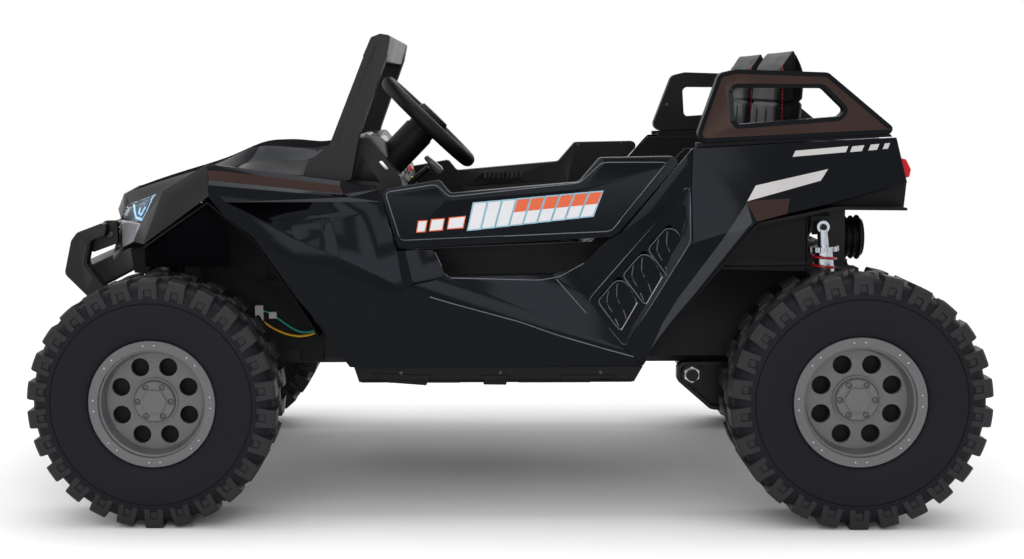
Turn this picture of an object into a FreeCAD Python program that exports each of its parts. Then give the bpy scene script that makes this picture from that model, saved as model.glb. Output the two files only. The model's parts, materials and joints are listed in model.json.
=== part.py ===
"""Child's two-seat battery ride-on buggy, as separate moulded, welded and turned pieces.

Millimetres. +X points forward, +Y to the vehicle's left, +Z up. The origin is on the floor,
midway between the axles and on the centre plane. Outlines are given from the front or the rear
wheels' centre, whichever is nearer, so the shell follows the axles.
"""
import FreeCAD, Part
import math
import os

V = FreeCAD.Vector

# Running gear
wheelbase = 1107.0
wheel_standout = 10.0
tyre_diameter = 400.0
tyre_width = 150.0
tyre_wall = 9.0
tread_depth = 9.0
tread_lug_count = 26
rim_radius = 99.0
rim_lip = 3.0
rim_barrel_wall = 7.0
rim_setback = 8.4
dish_depth = 32.0
disc_thickness = 8.0
disc_hole_radius = 14.7
disc_hole_circle = 59.0
disc_hole_count = 8
hub_cap_radius = 34.5
hub_cap_height = 9.0
hub_bolt_count = 6
hub_bolt_circle = 27.0
hub_boss_radius = 20.0
hub_boss_length = 48.0
axle_radius = 8.0

# Fits and gaps
running_clearance = 0.05
seat_gap = 0.3
door_gap = 3.0
tyre_gap = 8.0

# Body shell
body_half_width = 385.0
panel_wall = 4.0
sill_height = 46.0
rail_height = 25.0
belt_height = 380.0
cowl_height = 345.0
nose_height = 322.0
door_thickness = 30.0
door_rim = 11.0
door_recess = 3.0
door_pin_radius = 3.0
door_pin_length = 62.0
hoop_thickness = 28.0
hoop_rim = 12.0
slat_count = 5
wire_radius = 1.9

# Welded frame
frame_tube = 25.0
frame_inset = 185.0
pivot_radius = 10.0
eye_wall = 5.0
arm_plate = 20.0
wishbone_tube = 8.0

# Spring units
damper_radius = 8.0
eye_radius = 10.0
bolt_radius = 5.0
spring_radius = 20.5

# Steering
kingpin_inset = 65.0
kingpin_half_height = 40.0
kingpin_eye_height = 20.0
steering_arm_length = 60.0
steering_wheel_y = 170.0
steering_rim_radius = 93.0
steering_rim_tube = 12.0
column_slope = 45.5
column_radius = 27.5

# Seats
seat_gap_middle = 30.0
cushion_height = 43.0

# Places worked out from the sizes above
half = body_half_width
front_x = wheelbase / 2
rear_x = -wheelbase / 2
axle_z = tyre_diameter / 2
wheel_y = half + wheel_standout
frame_half_width = half - frame_inset
tyre_in_y = wheel_y - tyre_width / 2
tub_y = tyre_in_y - tyre_gap
sill_z = axle_z + sill_height
rail_z = sill_z - rail_height
pan_z = rail_z + 5.0
floor_z = pan_z + frame_tube
belt_z = axle_z + belt_height
cowl_z = axle_z + cowl_height
nose_z = axle_z + nose_height
bench_z = axle_z + 185
kingpin_y = wheel_y - kingpin_inset
arm_out_y = tyre_in_y - 20.0
arm_in_y = arm_out_y - arm_plate
rim_lip_radius = rim_radius + rim_lip
disc_out = tyre_width / 2 - rim_setback - dish_depth
stub_end_y = wheel_y + disc_out - 1.0
frame_front_x = front_x + 86.5
frame_rear_x = rear_x - 16.5
arm_pivot_x = rear_x + 239
arm_pivot_z = axle_z + 18
steering_centre = V(front_x - 435.2, steering_wheel_y, cowl_z + 90.0)
column_angle = math.radians(column_slope)
column_down = V(math.cos(column_angle), 0, -math.sin(column_angle))


def placed(points, x, z):
    """Outline points measured from their own origin, moved to (x, z)."""
    return [(x + along, z + up) for along, up in points]


def inset(points, distance):
    """The (x, z) outline moved inwards by a distance, its corners kept sharp."""
    area = sum(x1 * z2 - x2 * z1 for (x1, z1), (x2, z2) in zip(points, points[1:] + points[:1]))
    side = distance if area > 0 else -distance
    moved = []
    for index, (x, z) in enumerate(points):
        before = points[index - 1]
        after = points[(index + 1) % len(points)]
        into = V(x - before[0], z - before[1], 0).normalize()
        away = V(after[0] - x, after[1] - z, 0).normalize()
        left_into = V(-into.y, into.x, 0)
        left_away = V(-away.y, away.x, 0)
        offset = (left_into + left_away) * (side / (1 + left_into.dot(left_away)))
        moved.append((x + offset.x, z + offset.y))
    return moved


def rounded_wire(corners, radius):
    """Closed flat wire through corners, each rounded by an arc as far as its edges allow."""
    starts = []
    edges = []
    for index, corner in enumerate(corners):
        before = corners[index - 1] - corner
        after = corners[(index + 1) % len(corners)] - corner
        first = V(before).normalize()
        second = V(after).normalize()
        half_angle = first.getAngle(second) / 2
        if radius <= 0 or half_angle > math.radians(88):
            starts.append((corner, corner))
            continue
        cut = min(radius / math.tan(half_angle), 0.45 * min(before.Length, after.Length))
        real_radius = cut * math.tan(half_angle)
        middle = corner + V(first + second).normalize() * (real_radius / math.sin(half_angle) - real_radius)
        start = corner + first * cut
        end = corner + second * cut
        edges.append(Part.Arc(start, middle, end).toShape())
        starts.append((start, end))
    for index, (start, end) in enumerate(starts):
        following = starts[(index + 1) % len(starts)][0]
        edges.append(Part.makeLine(end, following))
    return Part.Wire(Part.__sortEdges__(edges))


def prism_xz(points, y_from, y_to, radius=0.0):
    """Solid from an outline of (x, z) points between two planes of constant y."""
    wire = rounded_wire([V(x, y_from, z) for x, z in points], radius)
    return Part.Face(wire).extrude(V(0, y_to - y_from, 0))


def leaning_plate(outline, windows, plane_y, wall, radius=0.0, window_radius=0.0):
    """Flat plate with windows, its outer face on the plane that gives y for an (x, z) point."""
    wires = []
    for points, rounding in [(outline, radius)] + [(window, window_radius) for window in windows]:
        wires.append(rounded_wire([V(x, plane_y(x, z), z) for x, z in points], rounding))
    return Part.Face(wires).extrude(V(0, -wall, 0))


def box(x_from, x_to, y_from, y_to, z_from, z_to):
    """Solid box between two corners."""
    corner = V(min(x_from, x_to), min(y_from, y_to), min(z_from, z_to))
    return Part.makeBox(abs(x_to - x_from), abs(y_to - y_from), abs(z_to - z_from), corner)


def rod(start, end, radius):
    """Round bar between two points."""
    along = end - start
    return Part.makeCylinder(radius, along.Length, start, along)


def turned(profile, centre):
    """Solid turned about a line along Y through centre, from (radius, y) points."""
    corners = [V(radius, y, 0) for radius, y in profile]
    face = Part.Face(Part.makePolygon(corners + corners[:1]))
    solid = face.revolve(V(0, 0, 0), V(0, 1, 0), 360)
    solid.translate(centre)
    return solid


def mirrored(shape):
    """The same shape on the other side of the centre plane."""
    return shape.mirror(V(0, 0, 0), V(0, 1, 0))


def fused(shapes):
    """One solid from shapes that meet."""
    return shapes[0].multiFuse(shapes[1:]).removeSplitter()


def both_sides(shape):
    """A shape and its mirror image, apart, in one piece."""
    return Part.makeCompound([shape, mirrored(shape)])


def around(centre, axis, count, shape, offset=0.0):
    """Copies of a shape in even steps about an axis through centre."""
    copies = []
    for index in range(count):
        copy = shape.copy()
        copy.rotate(centre, axis, offset + 360.0 * index / count)
        copies.append(copy)
    return copies


def facet_triangles(corners, facet, flatten):
    """Triangles of corner names that fill one facet, seen along the wall's direction."""
    flat = {name: flatten(corners[name]) for name in facet}
    outline = [flat[name] for name in facet]
    face = Part.Face(Part.makePolygon(outline + outline[:1]))
    points, triangles = face.tessellate(1.0)
    names = [min(facet, key=lambda name: (flat[name] - point).Length) for point in points]
    return [[names[index] for index in triangle] for triangle in triangles]


def panel(corners, facets, inward):
    """Moulded wall whose outer skin is made of flat facets between named corners.

    The inner skin is the outer one moved by inward, so the wall is even and its edges are flat.
    """
    drop = V(inward).normalize()

    def flatten(point):
        return point - drop * point.dot(drop)

    triangles = []
    for facet in facets:
        for first, second, third in facet_triangles(corners, facet, flatten):
            a, b, c = corners[first], corners[second], corners[third]
            if (b - a).cross(c - a).dot(drop) > 0:
                second, third = third, second
            triangles.append((first, second, third))
    edges = set()
    for first, second, third in triangles:
        edges.update([(first, second), (second, third), (third, first)])
    faces = []
    for names in triangles:
        outer = [corners[name] for name in names]
        inner = [point + inward for point in reversed(outer)]
        faces.append(Part.Face(Part.makePolygon(outer + outer[:1])))
        faces.append(Part.Face(Part.makePolygon(inner + inner[:1])))
    for start, end in sorted(edges):
        if (end, start) in edges:
            continue
        a, b = corners[start], corners[end]
        rim = [b, a, a + inward, b + inward]
        faces.append(Part.Face(Part.makePolygon(rim + rim[:1])))
    solid = Part.makeSolid(Part.makeShell(faces))
    if solid.Volume < 0:
        solid.reverse()
    return solid.removeSplitter()


# Flank panels. Every outline corner has a name, so that neighbours share it.

def door_edge_x(z):
    """Front edge of the door at a height."""
    return front_x - 391.5 + (z - (axle_z + 238)) * 0.285


def side_corners():
    """Corners of the left flank, from the lamp to the tail."""
    waist_z = cowl_z - 32
    top_z = cowl_z - 12
    low_z = axle_z + 234.5
    return {
        "lamp_top": V(front_x + 14, half - 85, nose_z + 2),
        "ridge_front": V(front_x - 1, half - 65, nose_z + 8),
        "ridge_peak": V(front_x - 75, half - 55, nose_z + 51),
        "ridge_back": V(front_x - 95, half - 55, nose_z + 50),
        "ridge_rear": V(front_x - 297.5, half - 35, cowl_z),
        "roll_front": V(front_x - 8.5, half - 58, nose_z + 1),
        "roll_peak": V(front_x - 79.5, half - 47, nose_z + 42),
        "roll_back": V(front_x - 97.5, half - 47, nose_z + 41.5),
        "roll_rear": V(front_x - 297.5, half - 27, cowl_z - 7),
        "cheek_low": V(front_x + 32, half - 55, axle_z + 243),
        "arch_top": V(front_x - 83, half - 25, axle_z + 323),
        "groove_front": V(front_x - 81.5, half - 41, axle_z + 348),
        "ledge_front": V(front_x - 82.5, half - 31, axle_z + 341),
        "groove_rear": V(front_x - 303.5, half - 22, cowl_z - 20),
        "ledge_rear": V(front_x - 313.5, half - 12, cowl_z - 25),
        "arch_shoulder": V(front_x - 109, half - 15, axle_z + 292),
        "arch_knee": V(front_x - 160, half, axle_z + 256),
        "arch_mid": V(front_x - 227, half + 5, axle_z + 160),
        "arch_low": V(front_x - 311, half, sill_z),
        "waist_front": V(front_x - 113, half - 15, cowl_z - 31),
        "waist_rear": V(door_edge_x(waist_z) + door_gap, half - 1, waist_z),
        "door_top": V(door_edge_x(top_z) + door_gap, half - 2, top_z),
        "door_low": V(door_edge_x(low_z) + door_gap, half + 11, low_z),
        "fold_top": V(front_x - 402.5, half + 4, low_z),
        "fold_low": V(front_x - 414.5, half + 7, axle_z + 184),
        "crease_front": V(front_x - 224, half + 7, axle_z + 255.5),
        "crease_mid": V(front_x - 297.5, half + 13, axle_z + 225),
        "flare": V(front_x - 399.5, half + 20, axle_z + 175),
        "crease_low": V(front_x - 324.5, half + 4, sill_z),
        "step_front": V(front_x - 445.5, half + 5, axle_z + 235.5),
        "step_low": V(front_x - 468.5, half + 6, axle_z + 192),
        "step_rear": V(rear_x + 470.5, half + 6, axle_z + 194.5),
        "step_rise": V(rear_x + 421.5, half + 4, axle_z + 212),
        "step_top": V(rear_x + 379.5, half + 3, axle_z + 250),
        "strip_rear": V(rear_x + 337.5, half + 3, sill_z + 11),
        "sill_rear": V(rear_x + 326.5, half, sill_z),
        "vent_low": V(rear_x + 357.5, half + 3, sill_z + 29),
        "vent_left": V(rear_x + 415.5, half + 3, axle_z + 158),
        "vent_top": V(rear_x + 251.5, half - 7, belt_z - 45),
        "vent_right": V(rear_x + 249.5, half + 3, belt_z - 136),
        "door_rear_low": V(rear_x + 360.5, half + 2, axle_z + 261),
        "door_rear_top": V(rear_x + 258.5, half - 9, belt_z + 1),
        "seam_top": V(rear_x + 248.5, half - 14, belt_z + 12),
        "tail_top": V(rear_x - 75.5, half - 45, belt_z + 24),
        "tail_corner": V(rear_x - 93.5, half - 45, belt_z - 48.5),
        "tail_low": V(rear_x + 33.5, half - 20, belt_z - 80),
        "quarter_fold": V(rear_x + 165.5, half - 10, belt_z - 72),
        "quarter_peak": V(rear_x + 95.5, half - 15, belt_z - 69),
        "rear_arch_back": V(rear_x + 102.5, half - 7, belt_z - 94),
        "rear_arch_top": V(rear_x + 148.5, half, belt_z - 105),
        "rear_arch_mid": V(rear_x + 295.5, half + 5, sill_z + 50),
    }


SIDE_FACETS = [
    ["ridge_front", "ridge_peak", "roll_peak", "roll_front"],
    ["ridge_peak", "ridge_back", "roll_back", "roll_peak"],
    ["ridge_back", "ridge_rear", "roll_rear", "roll_back"],
    ["roll_front", "roll_peak", "arch_top", "cheek_low"],
    ["ridge_front", "roll_front", "cheek_low"],
    ["roll_peak", "roll_back", "groove_front", "arch_top"],
    ["roll_back", "roll_rear", "groove_rear", "groove_front"],
    ["groove_front", "groove_rear", "ledge_rear", "ledge_front"],
    ["groove_front", "ledge_front", "arch_top"],
    ["ledge_front", "ledge_rear", "waist_rear", "waist_front"],
    ["ledge_front", "waist_front", "arch_top"],
    ["ridge_rear", "door_top", "groove_rear", "roll_rear"],
    ["door_top", "waist_rear", "ledge_rear", "groove_rear"],
    ["arch_top", "waist_front", "arch_shoulder"],
    ["waist_front", "crease_front", "arch_knee", "arch_shoulder"],
    ["waist_front", "waist_rear", "crease_mid"],
    ["waist_front", "crease_mid", "crease_front"],
    ["waist_rear", "door_low", "crease_mid"],
    ["door_low", "flare", "crease_mid"],
    ["door_low", "fold_top", "fold_low", "flare"],
    ["fold_top", "step_front", "step_low", "fold_low"],
    ["arch_knee", "crease_front", "arch_mid"],
    ["crease_front", "crease_mid", "arch_mid"],
    ["crease_mid", "flare", "crease_low", "arch_mid"],
    ["arch_mid", "crease_low", "arch_low"],
    ["flare", "fold_low", "step_low", "step_rear", "vent_left", "vent_low", "strip_rear"],
    ["flare", "strip_rear", "sill_rear", "crease_low"],
    ["step_rear", "step_rise", "vent_left"],
    ["step_rise", "step_top", "door_rear_low", "vent_left"],
    ["door_rear_low", "door_rear_top", "seam_top", "vent_top", "vent_left"],
]

QUARTER_FACETS = [
    ["seam_top", "tail_top", "quarter_peak", "quarter_fold", "vent_top"],
    ["tail_top", "tail_corner", "tail_low", "quarter_peak"],
    ["quarter_peak", "tail_low", "rear_arch_back"],
    ["quarter_fold", "quarter_peak", "rear_arch_back", "rear_arch_top"],
    ["vent_top", "quarter_fold", "vent_right"],
    ["quarter_fold", "rear_arch_top", "vent_right"],
    ["vent_right", "rear_arch_top", "rear_arch_mid", "vent_low"],
    ["vent_low", "rear_arch_mid", "sill_rear", "strip_rear"],
]

CORNERS = side_corners()
WALL_IN = V(0, -panel_wall, 0)
INSET = V(0, -panel_wall - seat_gap, 0)
door_hinge_x = front_x - 411.5
door_axis_y = half - 4.0
door_foot_z = axle_z + 238


def door_plane_y(x, z):
    """Outer face of the door, leaning in towards the top."""
    return half + 5.0 - (z - door_foot_z) * 0.0423


def plane_through(a, b, c):
    """Function that gives y on the plane through three corners, for an (x, z) point."""
    normal = (b - a).cross(c - a)

    def plane_y(x, z):
        return a.y - (normal.x * (x - a.x) + normal.z * (z - a.z)) / normal.y

    return plane_y


def wedge_cutter(outline, skin_y, depth):
    """Cutter for a dent that starts level with the skin at its first edge and deepens away from it."""
    (x1, z1), (x2, z2) = outline[:2]
    along = V(x2 - x1, 0, z2 - z1).normalize()
    rises = [abs((x - x1) * along.z - (z - z1) * along.x) for x, z in outline]

    def floor_y(x, z):
        rise = abs((x - x1) * along.z - (z - z1) * along.x)
        return skin_y(x, z) - depth * rise / max(rises)

    return leaning_plate(outline, [], floor_y, -30.0)


def make_side_panel():
    """Flank from the front arch to the seam behind the door, with two dents and the door's hinge lug."""
    skin_y = plane_through(CORNERS["waist_rear"], CORNERS["crease_mid"], CORNERS["flare"])
    dents = [
        placed([(-229.5, 257), (-278.5, 236.5), (-267.5, 281), (-225.5, 271)], front_x, axle_z),
        placed([(-299.5, 227), (-356.5, 202), (-332, 294), (-286, 283.5)], front_x, axle_z),
    ]
    solids = [panel(CORNERS, SIDE_FACETS, WALL_IN)]
    for dent in dents:
        backing = leaning_plate(inset(dent, -4.0), [], lambda x, z: skin_y(x, z) - panel_wall + 0.5, 7.0)
        solids.append(backing)
    lug = box(door_hinge_x - 12, door_hinge_x + 12, half - 19, half + 3, door_foot_z - 13.5,
              door_foot_z - 3.5)
    pin_base = V(door_hinge_x, door_axis_y, door_foot_z - 4)
    solids.append(lug)
    solids.append(rod(pin_base, pin_base + V(0, 0, door_pin_length), door_pin_radius))
    return fused(solids).cut([wedge_cutter(dent, skin_y, 6.5) for dent in dents])


def door_outline():
    """Corners of the door, from the front foot round over the notch to the rear foot."""
    shoulder = cowl_z - 14
    return [
        (door_edge_x(door_foot_z), door_foot_z),
        (door_edge_x(shoulder), shoulder),
        (front_x - 458.5, cowl_z + 1.5),
        (front_x - 475.5, cowl_z - 20),
        (rear_x + 427.5, belt_z - 39),
        (rear_x + 394.5, belt_z - 1),
        (rear_x + 262.5, belt_z),
        (rear_x + 365.5, axle_z + 261),
        (rear_x + 376.5, axle_z + 254),
    ]


def make_door():
    """Left door with its raised rim, the blind bore for the hinge pin, and the grip and arm rest inside."""
    outline = door_outline()
    slab = leaning_plate(outline, [], door_plane_y, door_thickness, 9.0)
    field = leaning_plate(inset(outline, door_rim), [], lambda x, z: door_plane_y(x, z) - door_recess,
                          -20.0, 5.0)
    inner_y = half - door_thickness
    rest = prism_xz([(front_x - 493.5, axle_z + 274), (front_x - 483.5, axle_z + 292),
                     (rear_x + 403.5, axle_z + 302), (rear_x + 413.5, axle_z + 280)],
                    inner_y - 14, inner_y + 8, 6.0)
    solids = [slab, rest]
    for index in range(9):
        start = front_x - 529.5 - index * 9.0
        solids.append(box(start - 5, start, inner_y - 4, inner_y + 8, axle_z + 308, axle_z + 320))
    foot = V(door_hinge_x, door_axis_y, door_foot_z - 8)
    bore = rod(foot, foot + V(0, 0, door_pin_length + 8), door_pin_radius + running_clearance)
    return fused(solids).cut([field, bore])


def make_vent_panel():
    """Inset rear panel: a raised frame and three slanted slots, each with its own rounded surround."""
    names = ["vent_top", "vent_left", "vent_low", "vent_right"]
    corners = {name: CORNERS[name] + WALL_IN for name in names}
    plate = panel(corners, [["vent_top", "vent_left", "vent_low"], ["vent_top", "vent_low", "vent_right"]],
                  WALL_IN)
    skin_y = plane_through(corners["vent_top"], corners["vent_left"], corners["vent_low"])
    field = [(corners[name].x, corners[name].z) for name in names]
    frame = leaning_plate(inset(field, 8.0), [inset(field, 13.0)], lambda x, z: skin_y(x, z) + 3.0, 5.0,
                          8.0, 5.0)
    solids = [plate, frame]
    slots = []
    for step in range(3):
        outline = placed(placed([(285.5, 274), (268.5, 255), (295.5, 212), (318.5, 240)], rear_x, axle_z),
                         39.5 * step, -41.0 * step)
        solids.append(leaning_plate(inset(outline, -5.0), [], lambda x, z: skin_y(x, z) + 4.0, 7.0, 7.0))
        slots.append(leaning_plate(outline, [], lambda x, z: skin_y(x, z) + 20.0, 60.0, 5.0))
    made = fused(solids).cut(slots)
    blades = []
    for step in range(3):
        for index in range(2):
            blade = placed(placed([(282.5, 266), (287.5, 266), (306.5, 225), (301.5, 225)], rear_x, axle_z),
                           39.5 * step, -41.0 * step)
            blade = placed(blade, 8.5 * (index * 2 - 1), -4.0 * (index * 2 - 1))
            blades.append(leaning_plate(blade, [], lambda x, z: skin_y(x, z) + 1.0, 4.0))
    return fused([made] + blades)


def make_quarter():
    """Rear quarter above and in front of the rear arch."""
    return panel(CORNERS, QUARTER_FACETS, WALL_IN)


# Nose, lamps and hood

def nose_corners():
    """Corners of the left half of the nose, and of the headlamp in it."""
    return {
        "top_mid": V(front_x + 102.5, 0, nose_z),
        "top_side": V(front_x + 99.5, half - 235, nose_z - 6),
        "lamp_in_top": V(front_x + 89.5, half - 185, nose_z - 24),
        "lamp_in_low": V(front_x + 95, half - 185, nose_z - 47.5),
        "lamp_out_low": V(front_x + 43.5, half - 95, nose_z - 47.2),
        "lamp_top": CORNERS["lamp_top"],
        "ridge_front": CORNERS["ridge_front"] + INSET,
        "cheek_low": CORNERS["cheek_low"] + INSET,
        "brow_mid": V(front_x + 114.5, 0, nose_z - 31),
        "brow_side": V(front_x + 110.5, half - 235, nose_z - 33),
        "mask_mid": V(front_x + 108.5, 0, nose_z - 38),
        "mask_side": V(front_x + 104.5, half - 237, nose_z - 40),
        "chin_mid": V(front_x + 136.5, 0, nose_z - 98),
        "chin_side": V(front_x + 114.5, half - 237, nose_z - 100),
        "lip_mid": V(front_x + 149.5, 0, nose_z - 107),
        "lip_side": V(front_x + 122.5, half - 235, nose_z - 111),
        "lip_under": V(front_x + 122.5, half - 235, nose_z - 123),
        "lip_under_mid": V(front_x + 146.5, 0, nose_z - 120),
        "pale_in": V(front_x + 89.5, half - 165, nose_z - 92.5),
        "pale_out": V(front_x + 56.5, half - 95, nose_z - 77.5),
    }


NOSE = nose_corners()
NOSE_IN = V(-panel_wall, 0, 0)


def nose_slope_x(z):
    """Front of the grille's bars at a height, on the centre plane."""
    return NOSE["mask_mid"].x + (NOSE["mask_mid"].z - z) * 0.45


def make_nose():
    """Nose moulding with its brow, lower lip, and the grille's opening crossed by bars."""
    facets = [
        ["top_mid", "top_side", "brow_side", "brow_mid"],
        ["top_side", "lamp_in_top", "lamp_in_low", "brow_side"],
        ["brow_mid", "brow_side", "mask_side", "mask_mid"],
        ["mask_mid", "mask_side", "chin_side", "chin_mid"],
        ["chin_mid", "chin_side", "lip_side", "lip_mid"],
        ["lip_mid", "lip_side", "lip_under", "lip_under_mid"],
        ["brow_side", "lamp_in_low", "pale_in", "lip_side", "chin_side", "mask_side"],
        ["lip_side", "pale_in", "lip_under"],
        ["lamp_in_low", "lamp_out_low", "pale_out", "pale_in"],
        ["lamp_top", "ridge_front", "cheek_low", "lamp_out_low"],
        ["lamp_out_low", "cheek_low", "pale_out"],
    ]
    left = panel(NOSE, facets, NOSE_IN)
    shell = fused([left, mirrored(left)])
    opening_half = half - 262
    top = NOSE["mask_side"].z - 6
    low = NOSE["chin_side"].z + 6
    opening = box(front_x + 86.5, front_x + 166.5, -opening_half, opening_half, low, top)
    bars = []
    for index in range(slat_count):
        z = low + (top - low) * (index + 0.5) / slat_count
        x = nose_slope_x(z)
        bar = prism_xz([(x - 4, z - 3), (x - 1, z - 3), (x - 4, z + 3), (x - 9, z + 3)], -opening_half - 4,
                       opening_half + 4)
        bars.append(bar)
    for y in (-opening_half / 3, opening_half / 3):
        bars.append(prism_xz([(nose_slope_x(top + 3) - 10, top + 3), (nose_slope_x(top + 3) - 5, top + 3),
                              (nose_slope_x(low - 3) - 5, low - 3), (nose_slope_x(low - 3) - 10, low - 3)],
                             y - 3, y + 3))
    return fused([shell.cut(opening)] + bars)


def make_headlamp(nose, hood):
    """Clear lamp body of the left side, let into the nose."""
    names = ["lamp_in_top", "lamp_top", "lamp_out_low", "lamp_in_low"]
    lens = panel(NOSE, [names], V(-12, 0, -6))
    return lens.cut([nose, hood])


def hood_rows():
    """Rows of points across the left half of the hood, from the nose to the screen."""
    back = V(-panel_wall - seat_gap, 0, 0)
    rows = [
        [NOSE["top_mid"], NOSE["top_side"], NOSE["lamp_in_top"], V(front_x + 51.5, half - 135, nose_z - 11),
         NOSE["lamp_top"], CORNERS["ridge_front"]],
        [V(front_x + 14.5, 0, nose_z + 27), V(front_x + 14.5, half - 240, nose_z + 21),
         V(front_x + 8.5, half - 199, nose_z + 4),
         V(front_x - 8.5, half - 145, nose_z + 6), V(front_x - 21.5, half - 97, nose_z + 16),
         V(front_x - 38.5, half - 60, nose_z + 30)],
        [V(front_x - 70.5, 0, nose_z + 53), V(front_x - 71.5, half - 235, nose_z + 47),
         V(front_x - 73.5, half - 190, nose_z + 30),
         V(front_x - 75.5, half - 137, nose_z + 30), V(front_x - 75.5, half - 93, nose_z + 40),
         CORNERS["ridge_peak"]],
        [V(front_x - 139.5, 0, cowl_z + 56), V(front_x - 139.5, half - 205, cowl_z + 51),
         V(front_x - 139.5, half - 180, cowl_z + 28),
         V(front_x - 139.5, half - 133, cowl_z + 12), V(front_x - 123.5, half - 85, cowl_z + 15),
         CORNERS["ridge_back"]],
        [V(front_x - 208.5, 0, cowl_z + 55), V(front_x - 208.5, half - 205, cowl_z + 49),
         V(front_x - 208.5, half - 180, cowl_z + 28),
         V(front_x - 208.5, half - 127, cowl_z + 7), V(front_x - 208.5, half - 81, cowl_z + 7),
         V(front_x - 197.5, half - 45, cowl_z + 13.5)],
        [V(front_x - 268.5, 0, cowl_z + 59), V(front_x - 268.5, half - 205, cowl_z + 54),
         V(front_x - 273.5, half - 180, cowl_z + 35),
         V(front_x - 291.5, half - 127, cowl_z + 3), V(front_x - 313.5, half - 81, cowl_z - 3),
         V(front_x - 313.5, half - 35, cowl_z - 3)],
    ]
    rows[0] = [point + back for point in rows[0]]
    for row in rows:
        row[-1] = row[-1] + INSET
    return rows


def hood_shell(depth):
    """Hood skin with everything under it down to a depth: smooth along, creased between its columns."""
    rows = hood_rows()
    lanes = []
    for column in range(len(rows[0])):
        curve = Part.BSplineCurve()
        curve.interpolate(Points=[row[column] for row in rows],
                          Parameters=[float(i) for i in range(len(rows))])
        lanes.append(curve.toShape())
    strips = []
    for first, second in zip(lanes, lanes[1:]):
        strip = Part.makeRuledSurface(first, second).extrude(V(0, 0, -depth))
        strips += [strip, mirrored(strip)]
    return fused(strips)


def make_windscreen_frame(hood_space):
    """Two raked posts with flared feet and the bar across their tops, standing on the hood."""
    post = placed([(-223.5, -23), (-241.5, 29), (-279, 59), (-348.5, 230.5), (-363.5, 236), (-380.5, 233),
                   (-374.5, 202), (-326.5, 71),
               (-313, 1)], front_x, cowl_z)
    bar = placed([(-348.5, 230.5), (-363.5, 236), (-380.5, 233), (-369.5, 193), (-333.5, 197)], front_x,
                 cowl_z)
    outer = half - 60.0
    inner = outer - 42.0
    left = prism_xz(post, inner, outer, 5.0)
    groove = prism_xz(placed([(-291.5, 61), (-354.5, 217), (-358.5, 217), (-295.5, 59)], front_x, cowl_z),
                      outer - 2.0, outer + 1.0)
    left = left.cut(groove)
    frame = fused([left, mirrored(left), prism_xz(bar, -outer + 1, outer - 1, 4.0)])
    return frame.cut(hood_space.translated(V(0, 0, seat_gap)))


def make_bumper():
    """Front guard: two side plates, two bars across and the arms to the nose and frame."""
    plate = placed([(114.5, 274), (164, 256), (174.5, 242), (187.5, 185.5), (152.5, 150), (110.5, 106),
                    (88.5, 106), (88.5, 130),
               (123, 166), (150.5, 202.5), (141.5, 243), (114.5, 250)], front_x, axle_z)
    upper_bar = placed([(143.5, 246), (163, 254), (173.5, 241), (178.5, 220), (154.5, 216)], front_x,
                       axle_z)
    lower_bar = placed([(158.5, 192), (184.5, 194), (186.5, 185.5), (152.5, 151), (136.5, 152)], front_x,
                       axle_z)
    outer = half - 145.0
    inner = outer - 35.0
    arm = placed([(101.5, 234), (101.5, 273), (122.5, 273), (149.5, 252), (149.5, 217)], front_x, axle_z)
    left = prism_xz(plate, inner, outer, 12.0)
    bevel = prism_xz(placed([(136.5, 178), (153.5, 201), (145.5, 236), (132.5, 246), (106.5, 252),
                             (106.5, 238), (96.5, 180)], front_x, axle_z),
                     outer - 4.0, outer + 1.0, 8.0)
    left_arm = prism_xz(arm, inner - 14, inner, 6.0)
    foot = box(frame_front_x + 0.2, front_x + 110.5, frame_half_width - 12.5, inner + 20, pan_z,
               axle_z + 130)
    solids = [left.cut(bevel), left_arm, foot]
    solids += [mirrored(solid) for solid in solids]
    solids += [prism_xz(upper_bar, -inner - 1, inner + 1, 5.0),
               prism_xz(lower_bar, -inner - 1, inner + 1, 5.0)]
    guard = fused(solids)
    behind = fused([panel(NOSE, [["top_side", "lamp_in_top", "lamp_in_low", "brow_side"],
                                 ["brow_side", "lamp_in_low", "pale_in", "lip_side"],
                                 ["lip_side", "pale_in", "lip_under"],
                                 ["lamp_in_low", "lamp_out_low", "pale_out", "pale_in"]],
                          V(-60, 0, 0))])
    behind.translate(V(seat_gap, 0, 0))
    return guard.cut([behind, mirrored(behind)])


def make_undertray():
    """Floor pan with the running rails along both sides and two belly bulges."""
    front = front_x - 325.5
    rear = rear_x + 340.5
    plate = box(rear, front, -(half - 5), half - 5, rail_z, pan_z)
    ends = [(rear, rail_z), (front, rail_z), (front + 8, sill_z - seat_gap), (rear - 14, sill_z - seat_gap)]
    rail = prism_xz(ends, half - 25, half - 1)
    flange = box(rear + 4, front - 4, half - 25, half + 3, rail_z, rail_z + 3)
    solids = [plate, rail, mirrored(rail), flange, mirrored(flange)]
    for centre in (front_x - 423.5, rear_x + 458.5):
        belly = prism_xz([(centre - 80, rail_z), (centre - 62, rail_z - 38), (centre + 62, rail_z - 38),
                          (centre + 80, rail_z)], -(half - 210), half - 210)
        solids.append(belly)
    return fused(solids)


# Steelwork and running gear

def square_tube(x_from, x_to, y, z_from):
    """Frame tube along X."""
    side = frame_tube / 2
    return box(x_from, x_to, y - side, y + side, z_from, z_from + frame_tube)


def front_pivots():
    """Height and half spread of the wishbones' pivots, low pair first."""
    return [(axle_z - 38.0, 35.0), (axle_z + 62.0, 50.0)]


def front_shock_ends():
    """Top and bottom bolt of the left front spring unit."""
    return V(front_x, frame_half_width + 40, axle_z + 220), V(front_x, kingpin_y - 68, axle_z - 10)


def rear_shock_ends():
    """Top and bottom bolt of the left rear spring unit."""
    return V(rear_x + 28.5, arm_in_y + 10, belt_z - 121), V(rear_x + 18, arm_in_y + 10, axle_z + 62)


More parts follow.
